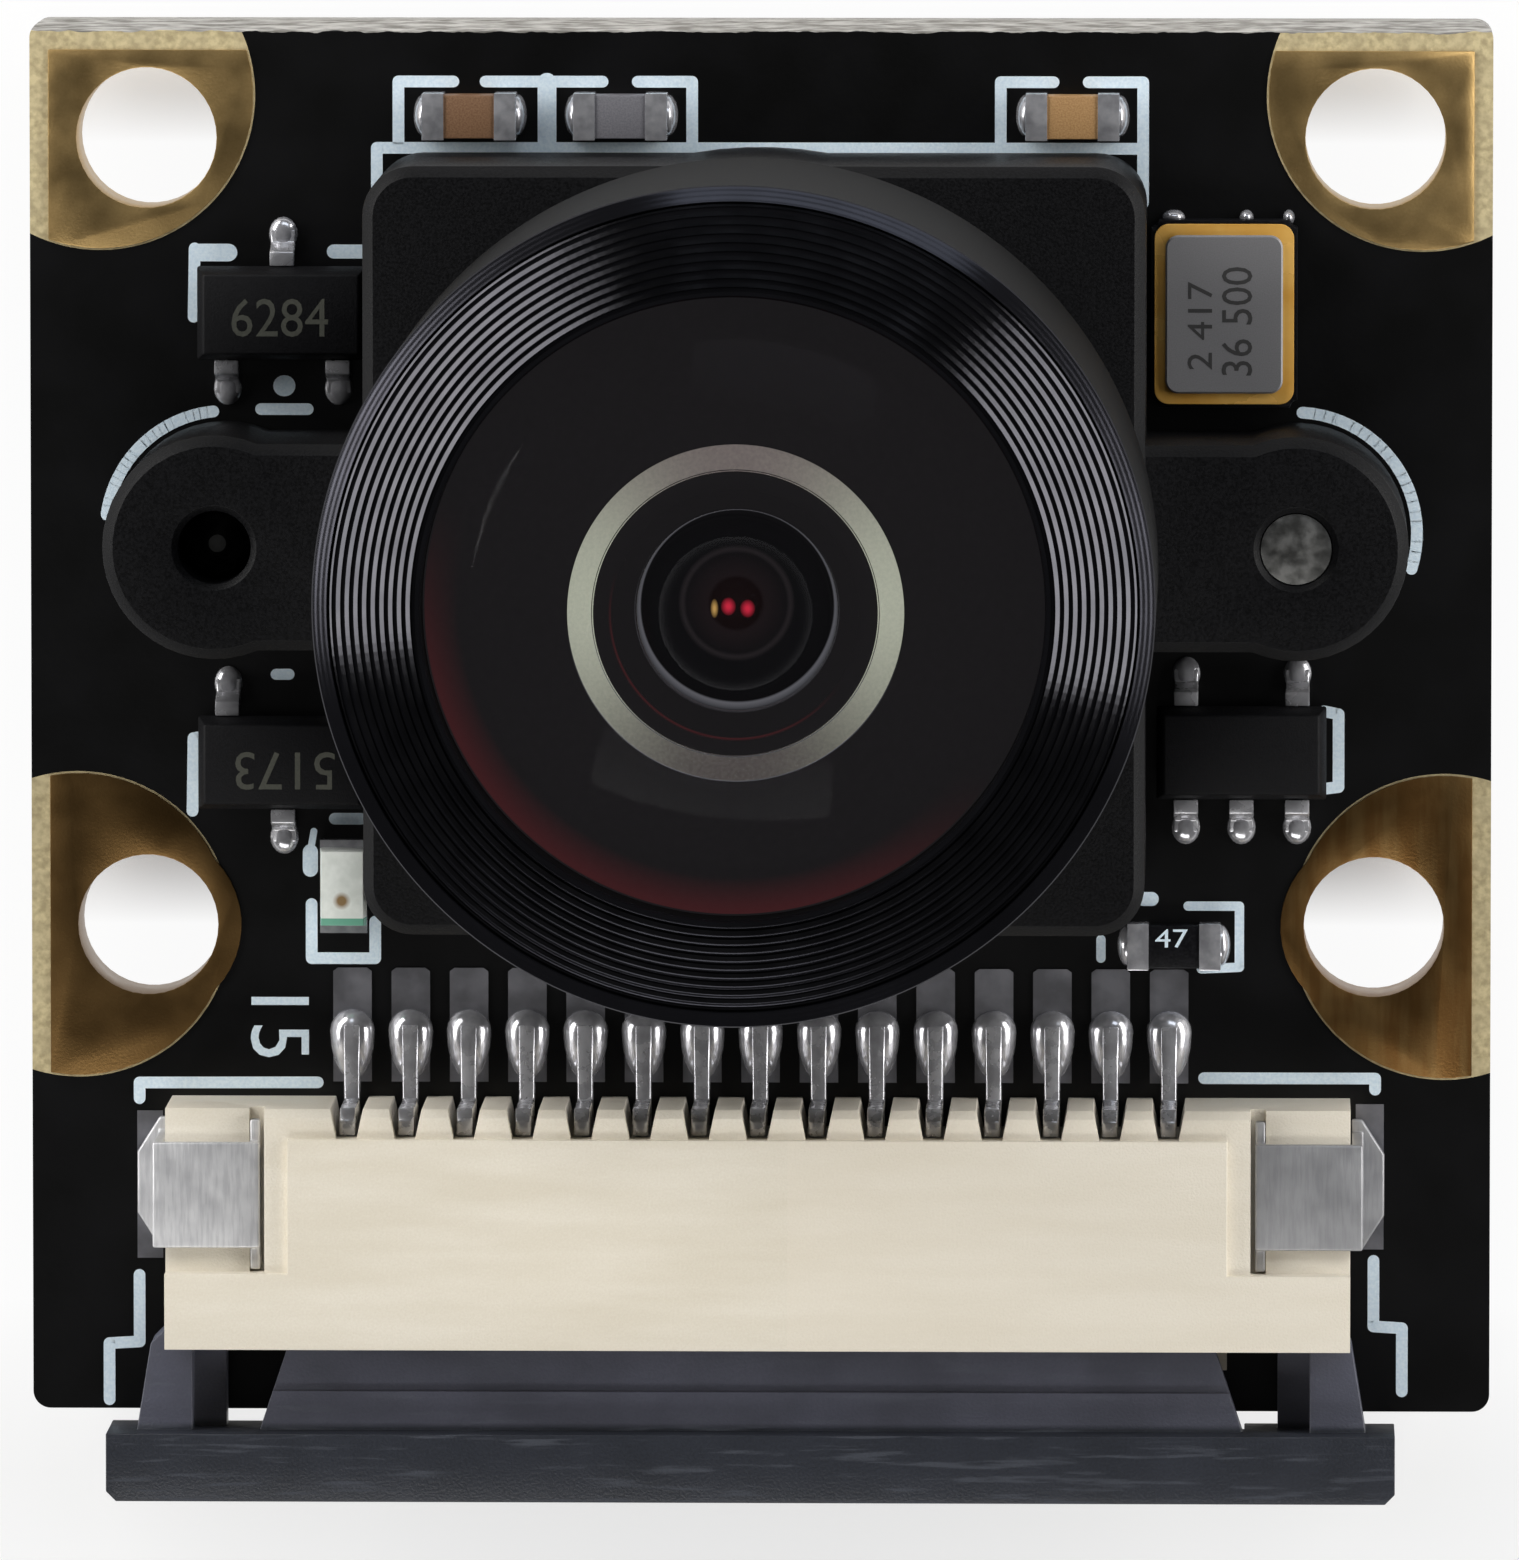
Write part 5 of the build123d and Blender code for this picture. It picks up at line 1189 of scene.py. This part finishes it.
stroke_tree, entry = new_shape_tree(
    "printed_strokes", Geometry="Geometry", Thickness_Share="Float", Material="Material"
)
stroke_width = add(
    stroke_tree, "GeometryNodeInputNamedAttribute", {"Name": "width"}, data_type="FLOAT"
).outputs["Attribute"]
path = add(stroke_tree, "GeometryNodeMeshToCurve", links={"Mesh": entry["Geometry"]})
strip = add(
    stroke_tree, "GeometryNodeCurvePrimitiveQuadrilateral", {"Width": 1.0},
    {"Height": entry["Thickness Share"]}, mode="RECTANGLE",
)
ribbon = add(
    stroke_tree, "GeometryNodeCurveToMesh", {"Fill Caps": True},
    {"Curve": path.outputs["Curve"], "Profile Curve": strip.outputs["Curve"], "Scale": stroke_width},
)
end_depth = sums(stroke_tree, "MULTIPLY", entry["Thickness Share"], END_SHARE)
round_end = add(
    stroke_tree, "GeometryNodeMeshCylinder", {"Vertices": END_STEPS, "Radius": 0.5}, {"Depth": end_depth}
)
round_ends = add(
    stroke_tree, "GeometryNodeInstanceOnPoints",
    links={"Points": entry["Geometry"], "Instance": round_end.outputs["Mesh"], "Scale": stroke_width},
)
whole = add(stroke_tree, "GeometryNodeJoinGeometry")
stroke_tree.links.new(ribbon.outputs["Mesh"], whole.inputs["Geometry"])
stroke_tree.links.new(round_ends.outputs["Instances"], whole.inputs["Geometry"])
end_tree(stroke_tree, entry, whole.outputs[0], flat=True)

# %% Printed outlines
LINE = 0.2
THICKNESS_SHARE = 0.09
EAR_CENTRE_X = 9.15
EAR_LINE_RADIUS = 2.07
LEFT_EAR_ARC = (96, 172)
RIGHT_EAR_ARC = (-17, 87)
ARC_STEPS = 22

# each stroke is its width and then the corners that it runs through
INK_STROKES = [
    (LINE, (-6.19, 6.62), (-6.19, 7.71), (-5.25, 7.71)),
    (LINE, (-4.7, 7.71), (-2.7, 7.71)),
    (0.32, (-3.65, 7.7), (-3.65, 6.6)),
    (LINE, (-2.1, 7.71), (-1.17, 7.71), (-1.17, 6.62)),
    (LINE, (-6.56, 5.9), (-6.56, 6.575), (6.53, 6.575)),
    (LINE, (6.53, 5.65), (6.53, 7.71), (5.6, 7.71)),
    (LINE, (5.0, 7.71), (4.1, 7.71), (4.1, 6.64)),
    (0.3, (-9.6, 4.78), (-9.1, 4.78)),
    (LINE, (-9.68, 4.85), (-9.7, 3.68)),
    (0.24, (-7.3, 4.8), (-6.8, 4.8)),
    (0.36, (-8.16, 2.50), (-8.14, 2.50)),
    (LINE, (-8.55, 2.1), (-7.75, 2.1)),
    (LINE, (-9.4, -3.5), (-9.72, -3.55), (-9.74, -4.8)),
    (0.19, (-8.3, -2.45), (-8.08, -2.45)),
    (LINE, (-7.3, -4.93), (-6.85, -4.93)),
    (0.26, (-7.72, -5.5), (-7.72, -5.8)),
    (0.12, (-7.72, -5.5), (-7.66, -5.15)),
    (LINE, (-7.7, -6.4), (-7.7, -7.33), (-6.61, -7.33), (-6.61, -6.7)),
    (LINE, (-7.6, -9.47), (-10.66, -9.48), (-10.66, -9.75)),
    (LINE, (7.6, -9.36), (10.53, -9.36), (10.53, -9.55)),
    (LINE, (-10.67, -12.8), (-10.67, -13.95), (-11.19, -13.98), (-11.19, -14.95)),
    (LINE, (10.51, -12.5), (10.51, -13.63), (11.0, -13.66), (11.0, -14.75)),
    (LINE, (9.64, -3.05), (9.89, -3.1), (9.89, -4.35), (9.64, -4.38)),
    (0.16, (7.32, -6.4), (8.2, -6.4), (8.2, -7.45), (7.55, -7.48)),
    (0.16, (5.83, -6.98), (5.83, -7.3)),
    (0.24, (6.56, -6.28), (6.7, -6.28)),
]


def arc_stroke(middle_x, start, end):
    """Corners along a printed arc round a holder ear, between two angles in degrees."""
    corners = []
    for step in range(ARC_STEPS + 1):
        turn = radians(start + (end - start) * step / ARC_STEPS)
        corners.append((middle_x + EAR_LINE_RADIUS * cos(turn), EAR_LINE_RADIUS * sin(turn)))
    return corners


def stroke_seed(name, strokes):
    """Loose edges with a width on each point, for the tree to sweep."""
    points, edges, widths = [], [], []
    for width, *corners in strokes:
        for here, there in zip(corners, corners[1:]):
            z = BOARD_TOP + INK_HAIR * (len(edges) % INK_LEVELS)
            edges.append((len(points), len(points) + 1))
            end_z = z + INK_HAIR / 2
            points += [(here[0] * MM, here[1] * MM, z * MM), (there[0] * MM, there[1] * MM, end_z * MM)]
            widths += [width * MM, width * MM]
    mesh = bpy.data.meshes.new(name)
    mesh.from_pydata(points, edges, [])
    mesh.attributes.new("width", "FLOAT", "POINT").data.foreach_set("value", widths)
    return mesh


all_strokes = INK_STROKES + [
    (LINE, *arc_stroke(-EAR_CENTRE_X, *LEFT_EAR_ARC)),
    (LINE, *arc_stroke(EAR_CENTRE_X, *RIGHT_EAR_ARC)),
]
ink_mesh = grown(
    "printed_legend", stroke_tree, stroke_seed("printed_legend_seed", all_strokes),
    Thickness_Share=THICKNESS_SHARE, Material=ink_finish,
)
piece("printed_legend", ink_mesh, ink_finish, "module")
print("legend:", len(ink_mesh.polygons), "faces")

# %% [markdown]
# ## Pads and solder
# Every lead ends on a tinned copper pad, and the melted solder has climbed up its sides in a small
# smooth hill. A hill is half of a ball drawn out along the lead. The fifteen contacts are alike, so
# one pad and one hill are made and a tree repeats them along the row.

# %% Solder hills
HILL_STEPS = 20
HILL_RINGS = 7
HILL_SINK = 0.01
PIN_SPREAD = 0.95
LEAD_INSET = 0.08
LEAD_HILL = (0.25, 0.30, 0.17, 1.0)
CHIP_HILL_HALF_X = 0.17
CHIP_HILL_LENGTH = 0.9
CHIP_HILL_RISE = 0.6
# each spill beside the oscillator is its X and its half width
OSCILLATOR_HILLS = ((7.05, 0.2), (8.3, 0.12), (9.02, 0.1))
OSCILLATOR_HILL = (0.13, 0.2, 1.0)
OSCILLATOR_HILL_STEP = 0.02


def solder_hills(name, spots):
    """Half balls of solder: place, half width, half length, height and how far the tail is drawn out."""
    points, faces = [], []
    for x, y, half_x, half_y, rise, tail in spots:
        start = len(points)
        foot = BOARD_TOP - HILL_SINK
        for ring_number in range(HILL_RINGS):
            climb = pi / 2 * ring_number / HILL_RINGS
            for step in range(HILL_STEPS):
                turn = 2 * pi * step / HILL_STEPS
                along = sin(turn) * cos(climb) * half_y
                if along < 0:
                    along *= tail
                points.append((x + cos(turn) * cos(climb) * half_x, y + along, foot + sin(climb) * rise))
        points.append((x, y, foot + rise))
        top = len(points) - 1
        faces.append(tuple(range(start, start + HILL_STEPS)))
        for ring_number in range(HILL_RINGS):
            base = start + ring_number * HILL_STEPS
            above = base + HILL_STEPS
            for step in range(HILL_STEPS):
                after = (step + 1) % HILL_STEPS
                if ring_number == HILL_RINGS - 1:
                    faces.append((base + step, base + after, top))
                else:
                    faces.append((base + step, base + after, above + after, above + step))
    return mesh_from(name, points, faces)


def lead_hills():
    """A hill at the foot of every lead of the three regulators and at both ends of every chip."""
    spots = []
    pair = (-PIN_SPREAD, PIN_SPREAD)
    for node, upper, lower in (
        ("regulator_upper", (0,), pair),
        ("regulator_lower", pair, (0,)),
        ("regulator_right", pair, (-PIN_SPREAD, 0, PIN_SPREAD)),
    ):
        low, high = (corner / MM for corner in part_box(node + "_leads"))
        middle_x = (low.x + high.x) / 2
        spots += [(middle_x + shift, high.y - LEAD_INSET, *LEAD_HILL) for shift in upper]
        spots += [(middle_x + shift, low.y + LEAD_INSET, *LEAD_HILL) for shift in lower]
    for node in ("capacitor_left", "ferrite_bead", "capacitor_right", "resistor"):
        low, high = (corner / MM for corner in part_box(node + "_ends"))
        rise = (high.z - low.z) * CHIP_HILL_RISE
        middle_y = (low.y + high.y) / 2
        half_y = (high.y - low.y) / 2 * CHIP_HILL_LENGTH
        spots += [(x, middle_y, CHIP_HILL_HALF_X, half_y, rise, 1.0) for x in (low.x, high.x)]
    oscillator_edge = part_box("oscillator_base")[1].y / MM + OSCILLATOR_HILL_STEP
    spots += [(x, oscillator_edge, half_x, *OSCILLATOR_HILL) for x, half_x in OSCILLATOR_HILLS]
    return spots


hills = solder_hills("solder_hills", lead_hills())
piece("solder_hills", hills, solder_finish, "module")
print("solder hills:", len(hills.polygons), "faces")

# %% Row of contact pads and contact solder
PAD_THICKNESS = 0.035
PAD_HALF = 0.33
PAD_CLIP = 0.08
PAD_BACK = 1.0
PAD_FRONT = 0.9
PAD_TIP = 0.96
CONTACT_HILL = (0.39, 0.38, 0.33, 2.3)
CONTACT_HILL_BACK = 0.12

row_tree, entry = new_shape_tree(
    "row_of_copies", Geometry="Geometry", Count="Int", First="Float", Pitch="Float", Material="Material"
)
row_start = joined(row_tree, X=entry["First"])
row_step = joined(row_tree, X=entry["Pitch"])
row_line = add(
    row_tree, "GeometryNodeMeshLine",
    links={"Count": entry["Count"], "Start Location": row_start, "Offset": row_step},
)
copies = add(
    row_tree, "GeometryNodeInstanceOnPoints",
    links={"Points": row_line.outputs["Mesh"], "Instance": entry["Geometry"]},
)
end_tree(row_tree, entry, copies.outputs["Instances"])

contacts = [name for name in frame["nodes"] if name.startswith("contact_")]
contact_low, contact_high = (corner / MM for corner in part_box("contact_01"))
contact_first = (contact_low.x + contact_high.x) / 2
contact_pitch = (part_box("contact_02")[0].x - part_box("contact_01")[0].x) / MM
toe = contact_high.y
row_sizes = {"Count": len(contacts), "First": contact_first * MM, "Pitch": contact_pitch * MM}


def flat_pad(name, corners):
    """A thin pad on the board from its corners, in millimetres."""
    count = len(corners)
    points = [(x, y, BOARD_TOP + z) for z in (-HILL_SINK, PAD_THICKNESS) for x, y in corners]
    faces = [tuple(range(count)), tuple(range(count, 2 * count))]
    faces += [(k, (k + 1) % count, (k + 1) % count + count, k + count) for k in range(count)]
    return mesh_from(name, points, faces, smooth=False)


pad_corners = [
    (-PAD_HALF, toe - PAD_BACK),
    (PAD_HALF, toe - PAD_BACK),
    (PAD_HALF, toe + PAD_FRONT),
    (PAD_HALF - PAD_CLIP, toe + PAD_TIP),
    (PAD_CLIP - PAD_HALF, toe + PAD_TIP),
    (-PAD_HALF, toe + PAD_FRONT),
]
pad_seed = flat_pad("pad_seed", pad_corners)
pad_row = grown("contact_pads", row_tree, pad_seed, Material=pad_finish, **row_sizes)
piece("contact_pads", pad_row, pad_finish, "module")
hill_seed = solder_hills("hill_seed", [(0, toe - CONTACT_HILL_BACK, *CONTACT_HILL)])
hill_row = grown("contact_solder", row_tree, hill_seed, Material=solder_finish, **row_sizes)
piece("contact_solder", hill_row, solder_finish, "module")
print("contact row:", len(contacts), "pads and hills")

# %% Pads under the solder tabs
# each pad is its lower left and its upper right corner
TAB_PADS = {
    "left": ((-10.70, -12.5), (-10.26, -9.96)),
    "right": ((10.2, -12.3), (10.68, -9.8)),
}
for side, ((low_x, low_y), (high_x, high_y)) in TAB_PADS.items():
    tab_corners = [(low_x, low_y), (high_x, low_y), (high_x, high_y), (low_x, high_y)]
    tab_pad = flat_pad(f"tab_pad_{side}", tab_corners)
    piece(f"tab_pad_{side}", tab_pad, pad_finish, "module")

# %% [markdown]
# ## Indicator lamp and number marks
# The indicator is a tiny lamp under clear resin, with a green stripe that marks its polarity. The
# regulators and the oscillator carry laser-burnt marks. Plain numbers stand in their place here.
# Blender's own text makes them: it is turned to a mesh first, and then fitted to the space.

# %% Clear resin with its stripe
LED_STRIPE_LOW = -6.75
LED_STRIPE_HIGH = -6.58
LED_CHIP = (-7.15, -6.28)
RESIN_CLOUD_SIZE = 0.25
LED_CHIP_CORE = 0.07
LED_CHIP_REACH = 0.16

resin_finish, tree, shader, place = new_finish("clear_cast_resin", Roughness=0.25)
flat_place = flattened(tree, place)
resin_y = axes_of(tree, place)["Y"]
stripe = sums(
    tree, "MULTIPLY", sums(tree, "GREATER_THAN", resin_y, LED_STRIPE_LOW * MM),
    sums(tree, "LESS_THAN", resin_y, LED_STRIPE_HIGH * MM),
)
chip_far = vectors(tree, "DISTANCE", flat_place, (LED_CHIP[0] * MM, LED_CHIP[1] * MM, 0))
resin = blend(tree, grain(tree, place, RESIN_CLOUD_SIZE), "#DCE1DA", "#ECF0EA")
resin = blend(tree, between(tree, chip_far, LED_CHIP_REACH * MM, LED_CHIP_CORE * MM), resin, "#8C7350")
resin = tint(tree, resin, stripe, 0.9, "#4FA084")
tree.links.new(resin, shader.inputs["Base Color"])
softened("indicator_led_lens", "indicator_led_resin", 0.04, resin_finish, "module", "clear_resin")

# %% Number marks
MARK_DEPTH = 0.006
MARK_CURVE_STEPS = 3
UPPER_MARK_TOP = top_of("regulator_upper_body")
RESISTOR_TOP = top_of("resistor_body")
mark_finish = grainy("laser_burnt_mark", "#3E3F37", "#4C4D44", 0.03, (0.6, 0.8))
lid_mark_finish = grainy("laser_burnt_mark_on_nickel", "#2C2B2B", "#383737", 0.03, (0.6, 0.8))


def numerals(name, body, low, high, top, quarters, finish, slot):
    """Numbers fitted between two corners on a face at height top, turned by quarter turns."""
    curve = bpy.data.curves.new(name, "FONT")
    curve.body = body
    curve.extrude = MARK_DEPTH / 2
    curve.resolution_u = MARK_CURVE_STEPS
    mesh = plain_mesh(name, placed(name + "_seed", curve))
    mesh.transform(Matrix.Rotation(quarters * pi / 2, 4, "Z"))
    lows = [min(v.co[axis] for v in mesh.vertices) for axis in range(3)]
    highs = [max(v.co[axis] for v in mesh.vertices) for axis in range(3)]
    for v in mesh.vertices:
        x, y, z = [(v.co[axis] - lows[axis]) / (highs[axis] - lows[axis]) for axis in range(3)]
        fitted_x = low[0] + x * (high[0] - low[0])
        fitted_y = low[1] + y * (high[1] - low[1])
        v.co = Vector((fitted_x, fitted_y, top + MARK_DEPTH * (z - 0.5))) * MM
    piece(name, mesh, finish, "module")


# each mark is its name, numbers, two corners, height, quarter turns, finish and slot
MARKS = [
    ("mark_upper", "6284", (-9.0, 3.4), (-7.35, 4.05), UPPER_MARK_TOP, 0, mark_finish, "black_moulding"),
    ("mark_lower", "5173", (-8.95, -4.35), (-7.25, -3.7), UPPER_MARK_TOP, 2, mark_finish, "black_moulding"),
    ("mark_resistor", "47", (6.76, -7.08), (7.32, -6.76), RESISTOR_TOP, 0, ink_finish, "black_ceramic"),
    ("mark_lid_first", "2 417", (7.3, 2.85), (7.72, 4.35), lid_high.z, 1, lid_mark_finish, "grey_lid_metal"),
    ("mark_lid_second", "36 500", (7.88, 2.75), (8.4, 4.6), lid_high.z, 1, lid_mark_finish, "grey_lid_metal"),
    ("mark_ways", "15", (-8.75, -9.04), (-7.75, -8.0), BOARD_TOP, 3, ink_finish, "grey_lid_metal"),
]
for mark in MARKS:
    numerals(*mark)
print("marks:", len(MARKS))

# %% Finishes of the solids that keep their shape
PLAIN_NODES = {
    "circuit_board": board_finish,
    "image_sensor": sensor_finish,
    "sensor_cover_glass": glass_finish,
    "second_element": second_finish,
    "third_element": second_finish,
    "rear_element": second_finish,
    "field_element": second_finish,
    "infrared_filter": second_finish,
    "front_spacer": stop_finish,
    "middle_spacer": stop_finish,
    "rear_spacer": stop_finish,
    "aperture_stop": stop_finish,
    "indicator_led_ends": solder_finish,
}
for name, finish in PLAIN_NODES.items():
    for slot in frame["nodes"][name].material_slots:
        slot.material = finish
print("plain solids dressed")
